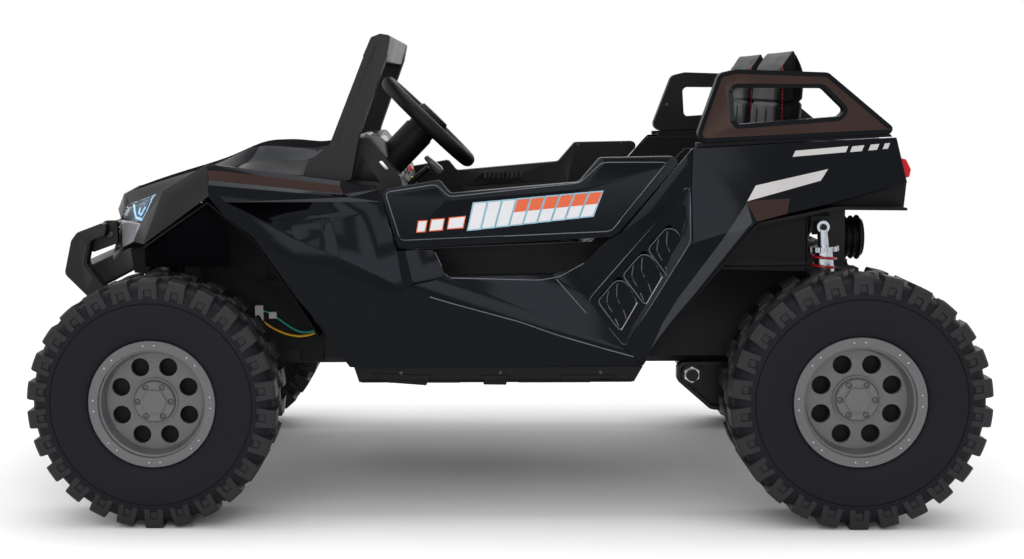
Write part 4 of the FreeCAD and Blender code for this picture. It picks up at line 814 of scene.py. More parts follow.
@dataclass
class Stickers:
    """Vinyl stripes on the doors and rear quarters, and the slate film of painted sheen along the quarters'
    slanting edge.
    """

    film_mm: float = 0.25
    lift_mm: float = 0.1
    step_mm: float = 6.0
    cuts: tuple = (((1, 0, 0), -0.65, 0.2), ((0, 0, 1), 0.26, 0.62))
    missed_mm: float = 360.0
    bar_count: int = 9
    bar_share: float = 0.84
    white_bars: int = 3
    border_mm: float = 2.2
    edge_mm: float = 1.6
    lettering: tuple = ((50, 467.5), (-150, 488.5), (-166, 525.5), (40, 508.5))
    blocks: tuple = (
        ((131.5, 464.8), (119.5, 465.6), (116, 481.6), (128.5, 481)),
        ((111, 466.5), (92, 468), (88.5, 484.5), (107.5, 483.2)),
        ((82.5, 469.4), (59, 471.2), (55, 487.8), (79, 485.6)),
    )
    quarter: tuple = (
        ((-390.5, 507.5), (-404, 532), (-519, 556), (-507, 538)),
        ((-463, 576), (-467.5, 585.5), (-551.6, 591.5), (-547.5, 582)),
        ((-554, 582), (-558, 591), (-577, 592.5), (-573, 583.4)),
        ((-583, 584), (-587, 593.2), (-601, 594.3), (-597, 585)),
        ((-606, 585.8), (-609.6, 594.8), (-618, 595.4), (-614.5, 586.4)),
    )
    slanting_edge: tuple = (((-389.5, 505), (-397, 475.5), (-301, 354.5), (-286.5, 338), (-269.5, 317),
                             (-250.5, 291.5), (-238, 273), (-258, 317), (-280, 353.5), (-350, 447)),)

    def build(self) -> None:
        """Lay the stickers of both sides."""
        for name, side in SIDES:
            bars = self.bars()
            for piece, node, outlines, finish, layer in (
                ("door_block_edges_", "door_", [self.grown(block, self.edge_mm) for block in self.blocks],
                 VINYL_ORANGE, 0),
                ("door_blocks_", "door_", self.blocks, VINYL_WHITE, 1),
                ("door_bar_borders_", "door_", [self.grown(bar, self.border_mm) for bar in bars],
                 VINYL_BLUE, 0),
                ("door_bars_white_", "door_", bars, VINYL_WHITE, 1),
                ("door_bars_orange_", "door_", [self.upper(bar) for bar in bars[self.white_bars:]],
                 VINYL_ORANGE, 2),
                ("quarter_stripes_", "rear_quarter_", self.quarter, VINYL_SILVER, 0),
                # The slate film is a painted sheen along the quarter's slanting edge.
                ("quarter_slate_", "rear_quarter_", self.slanting_edge, PAINTED_SHEEN_SLATE_ABS, 1),
            ):
                self.lay(piece + name, node + name, side, outlines, finish, layer)

    def bars(self) -> list:
        """Cut the lettering's place into even slanted bars."""
        low_a, low_b, high_b, high_a = (Vector(corner) for corner in self.lettering)
        bars = []
        for index in range(self.bar_count):
            start = index / self.bar_count
            end = start + self.bar_share / self.bar_count
            bars.append(tuple(tuple(point) for point in (low_a.lerp(low_b, start), low_a.lerp(low_b, end),
                                                         high_a.lerp(high_b, end),
                                                         high_a.lerp(high_b, start))))
        return bars

    @staticmethod
    def upper(bar: tuple) -> tuple:
        """Take the upper half of a bar."""
        low_a, low_b, high_b, high_a = (Vector(corner) for corner in bar)
        return tuple(low_a.lerp(high_a, 0.5)), tuple(low_b.lerp(high_b, 0.5)), tuple(high_b), tuple(high_a)

    @staticmethod
    def grown(outline: tuple, by: float) -> tuple:
        """Grow an outline away from its middle.

        Args:
            outline: X and Z of each corner.
            by: how far each corner moves along X and Z.

        Returns:
            The larger outline.
        """
        middle = sum((Vector(corner) for corner in outline), Vector((0, 0))) / len(outline)
        return tuple((x + math.copysign(by, x - middle.x), z + math.copysign(by, z - middle.y))
                     for x, z in outline)

    def lay(self, name: str, node: str, side: int, outlines: Iterable, finish: Finish, layer: int) -> None:
        """Lay films onto a panel.

        Args:
            name: name of the piece.
            node: the frame node under it.
            side: one on the left, minus one on the right.
            outlines: X and Z of each film's corners.
            finish: the vinyl.
            layer: how many films lie under it.
        """
        work = bmesh.new()
        for outline in outlines:
            corners = [work.verts.new((x * MM, 0.0, z * MM)) for x, z in outline]
            work.faces.new(corners)
        for axis, low, high in self.cuts:
            normal = Vector(axis)
            for index in range(int((high - low) / (self.step_mm * MM))):
                geometry = list(work.verts) + list(work.edges) + list(work.faces)
                bmesh.ops.bisect_plane(work, geom=geometry,
                                       plane_co=normal * (low + index * self.step_mm * MM), plane_no=normal)
        ground = ray_ground(frame["nodes"][node].data)
        lift = (self.lift_mm + layer * self.film_mm) * MM
        for vert in work.verts:
            landed = ground.ray_cast(Vector((vert.co.x, side * 1.0, vert.co.z)), Vector((0, -side, 0)))[0]
            vert.co.y = (landed.y if landed else side * self.missed_mm * MM) + side * lift
        bmesh.ops.recalc_face_normals(work, faces=work.faces)
        for face in work.faces:
            if face.normal.y * side < 0:
                face.normal_flip()
        bmesh.ops.solidify(work, geom=list(work.faces), thickness=-self.film_mm * MM)
        fresh_object(name, to_mesh(work, name, 0.001), finish, body_of_node(node), 25)


@dataclass
class HighlightBeads:
    """Thin beads along the shell's creases, rims and vents, drawn lighter as painted highlights, as lines of
    X and Z on the left side.
    """

    radius_mm: float = 0.9
    step_mm: float = 12.0
    corner_mm: float = 7.0
    door: tuple = ((181.7, 528.2), (100, 540.1), (80.4, 520), (-127, 540), (-162.3, 572), (-264, 571),
                   (-176.1, 463), (158.1, 451))
    crease: tuple = ((112, 362), (76, 350.7), (-31.6, 319.8), (-87.2, 299.3), (-166.6, 274.7), (-212, 262))
    opening: tuple = ((103.3, 431), (84.8, 391), (-63.7, 386), (-95.4, 391.7), (-133, 412.5))
    fold: tuple = ((-89.4, 387.8), (-136.8, 332.2))
    vent: tuple = ((-142, 355.3), (-294.6, 530.9), (-301.5, 525.9), (-301, 443.9), (-202.3, 281.8),
                   (-195.1, 280.6), (-143, 343.3))
    slot: tuple = ((-154.7, 351.2), (-184.3, 385.1), (-200, 381.8), (-217.9, 348.8), (-192.3, 304.8),
                   (-186.4, 308.1))
    slot_step: tuple = (-39.5, 41)
    slot_count: int = 3
    blades: tuple = (((-172.5, 367.2), (-168.5, 349.1), (-180.4, 329), (-188.3, 310.9)),
                     ((-186.2, 379.1), (-184.3, 357.1), (-196.2, 336.9), (-200.2, 322.9)))
    vent_face_mm: float = 387.8
    vent_slope: tuple = (0.0348, -0.0243)
    vent_zero: tuple = (-138, 358)
    blade_depth_mm: float = 1.2
    edge_rise_mm: float = 0.5
    inlay_depth_mm: float = 1.6
    inlay_mm: float = 1.5
    least_y_mm: float = 360.0
    first_y_mm: float = 384.0

    def build(self) -> None:
        """Lay the beads of both sides."""
        for name, side in SIDES:
            panel = "side_panel_" + name
            door = "door_" + name
            # Every bead is lighter than the shell, a painted highlight line.
            self.piece("door_bead_" + name, door, side, [self.laid(self.door, True, door, side)], PAINTED_HIGHLIGHT_ABS)
            lines = [self.laid(line, False, panel, side) for line in (self.crease, self.opening, self.fold)]
            self.piece("flank_beads_" + name, panel, side, lines, PAINTED_HIGHLIGHT_ABS)
            lines = [self.laid(self.vent, True, "vent_panel_" + name, side)]
            inlays = joined("inlays", [self.inlay(self.shifted(self.slot, index))
                                       for index in range(self.slot_count)])
            fresh_object("vent_inlays_" + name, handed(inlays, side), GLOSS_ABS,
                         body_of_node("vent_panel_" + name))
            edges = []
            for index in range(self.slot_count):
                slot = self.shifted(self.slot, index)
                lines.append(self.on_vent(slot, True, 0.0))
                lines.extend(self.on_vent(self.shifted(blade, index), False, self.blade_depth_mm)
                             for blade in self.blades)
                edges.append(self.on_vent(slot[3:5], False, -self.edge_rise_mm))
            self.piece("vent_beads_" + name, "vent_panel_" + name, side, lines, PAINTED_HIGHLIGHT_ABS)
            # The slots' pale lower edges are painted highlights.
            self.piece("vent_edges_" + name, "vent_panel_" + name, side, edges, PALE_ABS_AND_HIGHLIGHT)

    def shifted(self, line: tuple, index: int) -> list:
        """Move a line by some of the steps between the slots."""
        return [(x + self.slot_step[0] * index, z + self.slot_step[1] * index) for x, z in line]

    def softened(self, line: Iterable, closed: bool) -> list:
        """Round a line's corners and add points along its runs.

        Args:
            line: X and Z of each corner.
            closed: whether the line goes back to its start.

        Returns:
            The points of the soft line.
        """
        corners = [Vector(corner) for corner in line]
        soft = []
        for index, corner in enumerate(corners):
            if not closed and index in (0, len(corners) - 1):
                soft.append(corner)
                continue
            before = corners[index - 1] - corner
            after = corners[(index + 1) % len(corners)] - corner
            reach = min(self.corner_mm, before.length * 0.45, after.length * 0.45)
            start = corner + before.normalized() * reach
            end = corner + after.normalized() * reach
            soft.extend((start, (start + end + corner * 2) / 4, end))
        if closed:
            soft.append(soft[0])
        points = [soft[0]]
        for start, end in zip(soft, soft[1:]):
            parts = max(1, int((end - start).length / self.step_mm))
            points.extend(start.lerp(end, (part + 1) / parts) for part in range(parts))
        return points

    def laid(self, line: Iterable, closed: bool, node: str, side: int) -> list:
        """Drop a line onto a panel from outside.

        Args:
            line: X and Z of each corner.
            closed: whether the line goes back to its start.
            node: the frame node under it.
            side: one on the left, minus one on the right.

        Returns:
            Places in millimetres, on the left side.
        """
        ground = ray_ground(frame["nodes"][node].data)
        places = []
        for x, z in self.softened(line, closed):
            landed = ground.ray_cast(Vector((x * MM, side * 1.0, z * MM)), Vector((0, -side, 0)))[0]
            y = abs(landed.y) / MM if landed else 0.0
            if y < self.least_y_mm:
                y = places[-1][1] if places else self.first_y_mm
            places.append((x, y, z))
        return places

    def on_vent(self, line: Iterable, closed: bool, depth: float) -> list:
        """Lay a line in the vent panel's plane, some depth under its raised surrounds."""
        (x_slope, z_slope), (x_zero, z_zero) = self.vent_slope, self.vent_zero
        return [(x, self.vent_face_mm - depth + x_slope * (x - x_zero) + z_slope * (z - z_zero), z)
                for x, z in self.softened(line, closed)]

    def inlay(self, slot: Iterable) -> Mesh:
        """Fill a slot with a thin dark plate behind its blades.

        Args:
            slot: X and Z of each corner.

        Returns:
            The closed plate, on the left side.
        """
        work = bmesh.new()
        places = self.on_vent(slot, True, self.inlay_depth_mm)[:-1]
        front = [work.verts.new(Vector(place) * MM) for place in places]
        back = [work.verts.new(vert.co - Vector((0, self.inlay_mm * MM, 0))) for vert in front]
        work.faces.new(front)
        work.faces.new(reversed(back))
        skin(work, (back, front))
        return to_mesh(work, "inlay", WELD_MM)

    def piece(self, name: str, node: str, side: int, lines: Iterable, finish: Finish) -> None:
        """Make one piece of several beads."""
        mesh = joined(name, [tube("bead", line, self.radius_mm, 6) for line in lines])
        fresh_object(name, handed(mesh, side), finish, body_of_node(node), 60)


@dataclass
class Bodywork:
    """Moulded shell panels, with their stickers and their beads of painted highlight.

    Attributes:
        inner_face: what looks to the cockpit.
        level_top: the level faces on the hood's top.
        upper_face: what looks up.
        rim_face: the narrow faces round a hoop.
        looks_back: what looks back.
        nose_under: the nose's underside.
        fender_front: the fender's facet in front of its bend.
        fender_band: the band under the front fender's ridge, behind its bend.
        quarter_facet: the small facet at the front of the rear quarter's lower edge.
        pale_panel: the grey panel under each headlamp.
        post_back: rear faces of the windscreen frame's posts.
        post_inside: inner faces of those posts.
        screen_insert: the rear face of the windscreen frame's top bar.
        pod_box: open ranges of X, Y and Z round the instrument pod's corners.
        pod_faces: the pod's grey faces.
    """

    gloss_edge_mm: float = 2.0
    satin_edge_mm: float = 1.8
    matte: tuple = ("rear_deck", "undertray", "cockpit_tub", "front_liner", "rear_liner", "battery", "motors",
                    "tail_horn")
    inner_face: Faces = Faces(out=(-2, -0.8))
    level_top: Faces = Faces(out=(-0.2, 0.2), up=(0.8, 2))
    upper_face: Faces = Faces(up=(0.6, 2))
    rim_face: Faces = Faces(out=(-0.5, 0.5))
    looks_back: Faces = Faces(ahead=(-2, -0.5))
    nose_under: Faces = Faces(z=(0, 448), up=(-2, -0.3))
    fender_front: Faces = Faces(x=(482, 999), z=(430, 999), ahead=(0.3, 2))
    fender_band: Faces = Faces(x=(290, 480), z=(535, 575), out=(0.88, 2), up=(0.3, 0.45))
    quarter_facet: Faces = Faces(x=(-470, -385), z=(0, 512), out=(0.9, 2), up=(0.24, 0.36))
    pale_panel: Faces = Faces(x=(600, 648), across=(195, 999), z=(430, 474), ahead=(0.8, 2))
    post_back: Faces = Faces(z=(0, 735), ahead=(-2, -0.6))
    post_inside: Faces = Faces(z=(0, 735), out=(-2, -0.8))
    screen_insert: Faces = Faces(across=(-1, 300), z=(735, 999), ahead=(-2, -0.9))
    hoop_rim_mm: float = 7.0
    hoop_sink_mm: float = 2.5
    hoop_point: tuple = (-305, 370, 592)
    hoop_slope: tuple = (0.0957, 0.1)
    tail_cheek: tuple = ((-534, 516), (-648, 534), (-644, 491.8), (-498, 496.4))
    tray_tabs: tuple = (((205, 236), (185, 221), (119.5, 216), (112, 232)),
                        ((30, 232), (27, 217), (-9, 216.5), (-12, 232)),
                        ((-95, 232), (-100, 220), (-178, 226), (-186, 232)))
    arch_filler: tuple = ((540, 472.5), (490.5, 507.5), (476, 497), (446, 466), (440, 406), (540, 406))
    arch_turn: tuple = ((584, 441), (572, 449), (540, 472.5), (540, 406), (584, 406))
    arch_slope: float = 0.45
    arch_y: tuple = (338, 344)
    cheek_y: tuple = (318, 333)
    tabs_y: tuple = (370, 386.5)
    pod_move: tuple = (15, 0, -24)
    pod_box: tuple = ((-999, 226), (105, 235), (588, 999))
    pod_faces: Faces = Faces(x=(-999, 232), across=(105, 233), z=(586, 999), up=(-0.6, 2))

    def build(self) -> None:
        """Dress every panel."""
        edge = self.gloss_edge_mm
        # The hood's level top is a flat grey without reflection, a painted dull sheen.
        dressed("hood", GLOSS_ABS, edge, 3, [(HOOD_TOP_PAINTED_SHEEN_ABS, self.level_top)])
        for name, _ in SIDES:
            # The doors' upward faces take the dull matte finish, a painted dull sheen in place of their gloss
            # reflection.
            dressed("door_" + name, GLOSS_ABS, edge, 3,
                    [(SATIN_PP_AND_SHEEN, self.inner_face), (MATTE_PP_AND_PAINTED_SHADE, self.upper_face)])
            # The fender's band under its ridge is a painted brown reflection, and its front facet a painted
            # brown-grey sheen.
            dressed("side_panel_" + name, GLOSS_ABS, edge, 3,
                    [(PAINTED_BROWN_REFLECTION_ABS, self.fender_band), (SATIN_PP_AND_SHEEN, self.fender_front)])
            # A small facet of each rear quarter is a painted brown reflection.
            dressed("rear_quarter_" + name, GLOSS_ABS, edge, 3, [(PAINTED_BROWN_REFLECTION_ABS, self.quarter_facet)])
            # Each hoop's sunken face is a painted brown reflection, and its rims take the dull matte finish
            # as a painted dull sheen.
            dressed("hoop_" + name, GLOSS_ABS, edge, 3,
                    [(PAINTED_BROWN_REFLECTION_ABS, self.hoop_face), (SATIN_PP_AND_SHEEN, self.inner_face), (MATTE_PP_AND_PAINTED_SHADE, self.rim_face)],
                    self.sink_hoop)
            dressed("vent_panel_" + name, GLOSS_ABS, 0.9, 2)
        edge = self.satin_edge_mm
        dressed("nose", SATIN_PP_AND_SHEEN, 1.6, 2,
                [(MATTE_PP_AND_PAINTED_SHADE, self.looks_back, self.nose_under), (PALE_ABS_AND_HIGHLIGHT, self.pale_panel)])
        # The bumper's faces that look back are dark matte as painted shade on its far arms.
        dressed("front_bumper", SATIN_PP_AND_SHEEN, edge, 2, [(MATTE_PP_AND_PAINTED_SHADE, self.looks_back)])
        dressed("dashboard", SATIN_PP_AND_SHEEN, edge, 2, [(GREY_ABS,)], self.lower_pod)
        # The posts' rear and inner faces are dark matte as painted shade.
        dressed("windscreen_frame", SATIN_PP_AND_SHEEN, 3.0, 3,
                [(BRUSHED_FILM, self.screen_insert), (MATTE_PP_AND_PAINTED_SHADE, self.post_back, self.post_inside)])
        for name, side in SIDES:
            tabs = joined("tabs", [prism("tab", outline, *self.tabs_y, 1.2) for outline in self.tray_tabs])
            for piece, mesh, finish, node in (
                ("tail_cheek_", prism("cheek", self.tail_cheek, *self.cheek_y, 2.0), MATTE_PP_AND_PAINTED_SHADE, "rear_deck"),
                # The arch filler is a dark plate without reflection, painted shade above the front wheel.
                ("arch_filler_", self.filler(), SHADED_LINER_PP, "front_liner"),
                ("tray_tabs_", tabs, MATTE_PP_AND_PAINTED_SHADE, "undertray"),
            ):
                fresh_object(piece + name, handed(mesh, side), finish, body_of_node(node))
        for node in self.matte:
            dressed(node, MATTE_PP_AND_PAINTED_SHADE, 1.0, 1)
        Stickers().build()
        HighlightBeads().build()

    def filler(self) -> Mesh:
        """Cut the dark plate of painted shade inside the left front arch, which slants inwards to the nose.
        """
        turn = prism("turn", self.arch_turn, *self.arch_y, 1.0)
        for vert in turn.vertices:
            vert.co.y -= (vert.co.x - self.arch_turn[2][0] * MM) * self.arch_slope
        return joined("filler", [prism("filler", self.arch_filler, *self.arch_y, 1.0), turn])

    def sink_hoop(self, work: BMesh) -> None:
        """Sink a hoop's outer face and leave its rim."""
        chosen = [face for face in work.faces
                  if self.hoop_outside(face.calc_center_median() / MM, face.normal)]
        bmesh.ops.inset_region(work, faces=chosen, thickness=self.hoop_rim_mm * MM,
                               depth=-self.hoop_sink_mm * MM, use_even_offset=True, use_boundary=True)

    def lower_pod(self, work: BMesh) -> None:
        """Set the instrument pod lower and further forward, and mark its faces for the grey finish."""
        for face in work.faces:
            centre = face.calc_center_median() / MM
            if centre.y > 0 and self.pod_faces(centre, face.normal):
                face.material_index = 1
        for vert in work.verts:
            if all(low < value < high for value, (low, high) in zip(vert.co / MM, self.pod_box)):
                vert.co += Vector(self.pod_move) * MM

    def hoop_depth(self, centre: Vector) -> float:
        """Measure how far a point lies inside a hoop's outer plane, in millimetres."""
        x, y, z = self.hoop_point
        return y + (centre.x - x) * self.hoop_slope[0] - (centre.z - z) * self.hoop_slope[1] - abs(centre.y)

    def hoop_outside(self, centre: Vector, normal: Vector) -> bool:
        """Find the outer face of a roll hoop."""
        return abs(normal.y) > 0.9 and abs(self.hoop_depth(centre)) < 0.4

    def hoop_face(self, centre: Vector, normal: Vector) -> bool:
        """Find that face once it is sunk."""
        return abs(normal.y) > 0.9 and abs(self.hoop_depth(centre) - self.hoop_sink_mm) < 0.6


@dataclass
class Lamps:
    """Head and tail lamps, with the lit strips and the mirror behind the clear lens.

    Attributes:
        strips: line and radius of each lit strip on the left.
        mirror: corners of the left mirror plate.
        mirror_steps: share of the way to the middle, and depth, of each ring of the plate.
        lamp_seat: X of the tail lamps' seat and Z of their top.
        lamp_depth: share of their depth that is kept.
        lamp_height: share of their height that is kept.
    """

    strips: tuple = (
        (((617.8, 231, 501.5), (613.9, 245.4, 490.6), (608.9, 259.4, 482.3), (594.8, 281, 480.4)), 2.4),
        (((601.7, 259, 498.3), (603.5, 262.5, 490.5), (597.5, 273, 487.5), (589.2, 274, 501)), 1.92),
        (((573.2, 287.6, 518.8), (578.8, 287.4, 508), (587.9, 286.3, 489.8), (595.6, 284.6, 478.9)), 1.1),
    )
    mirror: tuple = ((641, 198, 483.7), (643, 202, 473.6), (600, 268, 477), (578, 271, 513),
                     (627, 208, 497))
    mirror_back: tuple = (-0.79, -0.5, -0.37)
    mirror_steps: tuple = ((0, 0), (0.3, 2), (0.62, 1))
    mirror_mm: float = 0.8
    lamp_seat: tuple = (-634.9, 571)
    lamp_depth: float = 0.72
    lamp_height: float = 0.88

    def build(self) -> None:
        """Dress the lenses and set what shines behind them."""
        dressed("headlamps", CLEAR_PC, 1.0)
        dressed("tail_lamps", RED_PC, 1.5, 3, shape=self.slim_lamp)
        body = body_of_node("headlamps")
        for name, side in SIDES:
            strips = joined("lamp_strips", [tube("strip", line, radius) for line, radius in self.strips])
            fresh_object("lamp_strips_" + name, handed(strips, side), LED_BLUE, body, 50)
            fresh_object("lamp_mirror_" + name, handed(self.mirror_plate(), side), REFLECTOR, body, 20)

    def slim_lamp(self, work: BMesh) -> None:
        """Draw the tail lamps in a little towards their seats and up from below."""
        for vert in work.verts:
            seat_x, top_z = (value * MM for value in self.lamp_seat)
            vert.co.x = seat_x + (vert.co.x - seat_x) * self.lamp_depth
            vert.co.z = top_z + (vert.co.z - top_z) * self.lamp_height

    def mirror_plate(self) -> Mesh:
        """Stamp the faceted mirror plate behind the left lens."""
        work = bmesh.new()
        corners = [Vector(corner) for corner in self.mirror]
        middle = sum(corners, Vector((0, 0, 0))) / len(corners)
        back = Vector(self.mirror_back).normalized()
        rings = [[work.verts.new((corner.lerp(middle, share) + back * depth) * MM) for corner in corners]
                 for share, depth in self.mirror_steps]
        skin(work, rings)
        work.faces.new(rings[-1])
        bmesh.ops.recalc_face_normals(work, faces=work.faces)
        bmesh.ops.solidify(work, geom=list(work.faces), thickness=self.mirror_mm * MM)
        return to_mesh(work, "lamp_mirror", WELD_MM)


@dataclass
class SpringUnit:
    """Damper body and red spring of one corner.

    Attributes:
        top: upper bolt of the left unit.
        bottom: lower bolt.
        body: the frame's body that carries it.
    """

    top: tuple
    bottom: tuple
    body: str
    pitch_mm: float = 14.5
    coil_mm: float = 19.3
    wire_mm: float = 2.2
    start_mm: float = 42.5
    end_mm: float = 27.0

    def spring(self, pattern: Pattern, name: str, side: int) -> None:
        """Wind the spring and put it round the damper.

        Args:
            pattern: the trees.
            name: name of the piece.
            side: one on the left, minus one on the right.
        """
        top = Vector(self.top)
        along = Vector(self.bottom) - top
        height = along.length - self.start_mm - self.end_mm
        mesh = pattern.run(pattern.coil, name, SPRING_RED, Turns=height / self.pitch_mm,
                           Radius=self.coil_mm * MM, Height=height * MM, Wire=self.wire_mm * MM)
        along.normalize()
        turn = along.to_track_quat("Z", "Y").to_matrix().to_4x4()
        place = Matrix.Translation((top + along * self.start_mm) * MM) @ turn
        if side < 0:
            place = mirrored_y() @ place
        fresh_object(name, placed(mesh, place), SPRING_RED, self.body, 60)


@dataclass
class Chassis:
    """Welded frame, arms, spring units, axles, bolts and leads."""

    steel: tuple = ("frame", "front_arms", "swing_arm", "knuckle_left", "knuckle_right", "tie_rod")
    pivot: tuple = (-314.5, 302, 218)
    nut_profile: tuple = ((4.2, 0), (4.2, 7), (5.6, 8.4), (9, 8.4), (10.2, 7.2), (10.2, 2), (13.4, 2),
                          (13.4, 0))
    end_profile: tuple = ((0.01, 0), (0.01, 3), (4.3, 3), (4.3, 0))
    teal_line: tuple = ((408, 318), (392, 314), (377, 305), (356, 291), (338, 283), (319, 284), (303, 296))
    plugs: tuple = (Faces(x=(401.5, 416.5), z=(294.5, 327.5)),
                    Faces(x=(378.5, 392.5), across=(223.0, 231.6), z=(304.5, 316.5)))
    yellow_line: tuple = ((408, 303), (391, 291), (373, 282), (352, 276), (329, 276), (312, 282),
                          (299.5, 290))

    def build(self, pattern: Pattern) -> None:
        """Dress the steelwork, wind the springs and set the bolts.

        Args:
            pattern: the trees.
        """
        for node in self.steel:
            dressed(node, POWDER_COAT, 0.0)
        dressed("front_shocks", POWDER_COAT, 0.0)
        dressed("rear_shocks", ZINC, 0.0)
        front = SpringUnit((553.5, 240.0, 420.0), (553.5, 262.0, 190.0), body_of_node("front_shocks"))
        rear = SpringUnit((-525.0, 290.0, 459.0), (-535.5, 290.0, 262.0), body_of_node("rear_shocks"))
        for name, side in SIDES:
            front.spring(pattern, "spring_front_" + name, side)
            rear.spring(pattern, "spring_rear_" + name, side)
            self.pivot_nut(name, side)
        dressed("wiring", NYLON_PALE, 0.0, 2, [(PVC_TEAL, self.near_teal), (PVC_YELLOW, self.near_yellow)])

    def pivot_nut(self, name: str, side: int) -> None:
        """Set the zinc washer and the hollow nut on the swing arm's pivot.

        Args:
            name: left or right.
            side: one on the left, minus one on the right.
        """
        for piece, profile, faces, finish in (("pivot_nut", self.nut_profile, 6, ZINC),
                                              ("pivot_end", self.end_profile, 12, BLACK_OXIDE)):
            mesh = turned(piece, profile, faces, self.pivot)
            fresh_object("%s_%s" % (piece, name), handed(mesh, side), finish, body_of_node("frame"))

    @staticmethod
    def off_line(centre: Vector, line: Iterable) -> float:
        """Measure how far a point is from a lead's line, seen from the side.

        Args:
            centre: the point, in millimetres.
            line: X and Z along the lead.

        Returns:
            The distance in millimetres.
        """
        best = 1000.0
        point = Vector((centre.x, centre.z))
        for start, end in zip(line, line[1:]):
            a, b = Vector(start), Vector(end)
            share = max(0.0, min(1.0, (point - a).dot(b - a) / (b - a).length_squared))
            best = min(best, (point - a.lerp(b, share)).length)
        return best

    def on_lead(self, centre: Vector, normal: Vector, teal: bool) -> bool:
        """Tell whether a face is nearer to the teal lead or to the yellow one, and in neither plug."""
        nearer = self.off_line(centre, self.teal_line) <= self.off_line(centre, self.yellow_line)
        return nearer is teal and not any(plug(centre, normal) for plug in self.plugs)

    def near_teal(self, centre: Vector, normal: Vector) -> bool:
        """Find the teal lead's faces."""
        return self.on_lead(centre, normal, True)

    def near_yellow(self, centre: Vector, normal: Vector) -> bool:
        """Find the yellow lead's faces."""
        return self.on_lead(centre, normal, False)


@dataclass
class Controls:
    """Steering wheel, column, and what stands on the dashboard.

    Attributes:
        plates: name, outline of X and Z, both ends in Y, rounding, finish and smoothing angle.
    """

    wheel_centre: tuple = (118.3, 170, 635)
    column_way: tuple = (0.7009, 0, -0.7133)
    rib_count: int = 5
    rib_step_mm: float = 12.0
    plates: tuple = (
        ("pod_bezel", ((247, 568), (243, 588), (221, 619), (216, 616), (237, 584), (240, 566)), 112, 228, 1.5,
         GREY_ABS, 35),
        ("dash_cheek_left", ((243, 543), (226, 580), (214, 560), (196, 539)), 262.5, 268, 1.5, SATIN_PP_AND_SHEEN, 35),
        ("dash_plate_left", ((199, 572), (193, 574), (182, 560), (187, 556)), 262.5, 265, 0.8, ZINC, 35),
        # The red button glows as painted light.
        ("button_red", ((163, 550), (157.5, 553.5), (152.5, 544.5), (158, 541)), -34, -14, 1.2,
         BUTTON_RED_PAINTED_GLOW, 35),
        ("button_yellow", ((161, 529), (154, 530.5), (152, 524.5), (159, 523)), -48, -30, 1.2,
         BUTTON_YELLOW, 35),
        ("lever_knob", ((131, 569), (124, 574), (98, 552), (96, 546), (101, 540), (108, 541)), 47, 73, 5.0,
         GREY_ABS, 50),
    )

    def build(self, pattern: Pattern) -> None:
        """Dress the wheel and the column, and set the buttons.

        Args:
            pattern: the trees.
        """
        dressed("steering_wheel", MATTE_PP_AND_PAINTED_SHADE, 1.2, 2)
        dressed("steering_column", MATTE_PP_AND_PAINTED_SHADE, 1.5)
        centre = Vector(self.wheel_centre)
        along = Vector(self.column_way)
        collar = tube("collar", [centre + along * 9.0, centre + along * 24.0], 25.5, 40)
        fresh_object("column_collar", collar, MATTE_PP_AND_PAINTED_SHADE, body_of_node("steering_column"))
        body = body_of_node("dashboard")
        for name, outline, y_from, y_to, edge, finish, smooth in self.plates:
            fresh_object(name, prism(name, outline, y_from, y_to, edge), finish, body, smooth)
        rib = prism("rib", ((163.5, 572), (161.5, 572), (156, 541), (158, 541)), 30, 36, 0.6)
        ribs = pattern.run(pattern.spots, "dash_ribs", GREY_ABS, template=rib, Turn=(0.0, 0.0, 0.0),
                           points=[(0, self.rib_step_mm * index, 0) for index in range(self.rib_count)])
        fresh_object("dash_ribs", ribs, GREY_ABS, body)
        stalk = tube("stalk", [(158, 60, 520), (140, 60, 538), (122, 60, 552)], 5.0)
        fresh_object("lever_stalk", stalk, SATIN_PP_AND_SHEEN, body, 50)


@dataclass
class Fasteners:
    """Small screws and bolts on the panels, all by Geometry Nodes."""

    head_mm: float = 4.6
    dome_mm: float = 1.6
    recess_mm: float = 2.0

    def head(self, scale: float = 1.0) -> Mesh:
        """Turn a pan head with a hollow in its middle, looking along +Y."""
        r, dome, hole = self.head_mm * scale, self.dome_mm * scale, self.recess_mm * scale
        return lathe("screw_head", [(0.01, -0.6), (0.01, dome * 0.3), (hole, dome * 0.4), (hole + 0.3, dome),
                                    (r * 0.7, dome * 0.95), (r * 0.95, dome * 0.5), (r, 0.0), (r, -0.6)], 12)

    def build(self, pattern: Pattern) -> None:
        """Set the screws of both sides.

        Args:
            pattern: the trees.
        """
        for name, side in SIDES:
            out, inward = (0.0, math.pi) if side > 0 else (math.pi, 0.0)
            for piece, node, y, turn, spots, scale in (
                ("bumper_bolts", "front_bumper", 205.0, out, ((668.0, 448.4),), 1.5),
                ("door_screws", "door_" + name, 354.6, inward, ((-165.5, 573.3), (-252.0, 577.0)), 0.8),
                ("hoop_screws", "hoop_" + name, 332.9, inward, ((-339.9, 651.1),), 0.9),
                ("tray_screws", "undertray", 385.0, out, ((160, 236), (0, 236), (-160, 236)), 0.7),
            ):
                mesh = pattern.run(pattern.spots, piece, BLACK_OXIDE, template=self.head(scale),
                                   points=[(x, side * y, z) for x, z in spots], Turn=(0.0, 0.0, turn))
                fresh_object("%s_%s" % (piece, name), mesh, BLACK_OXIDE, body_of_node(node))


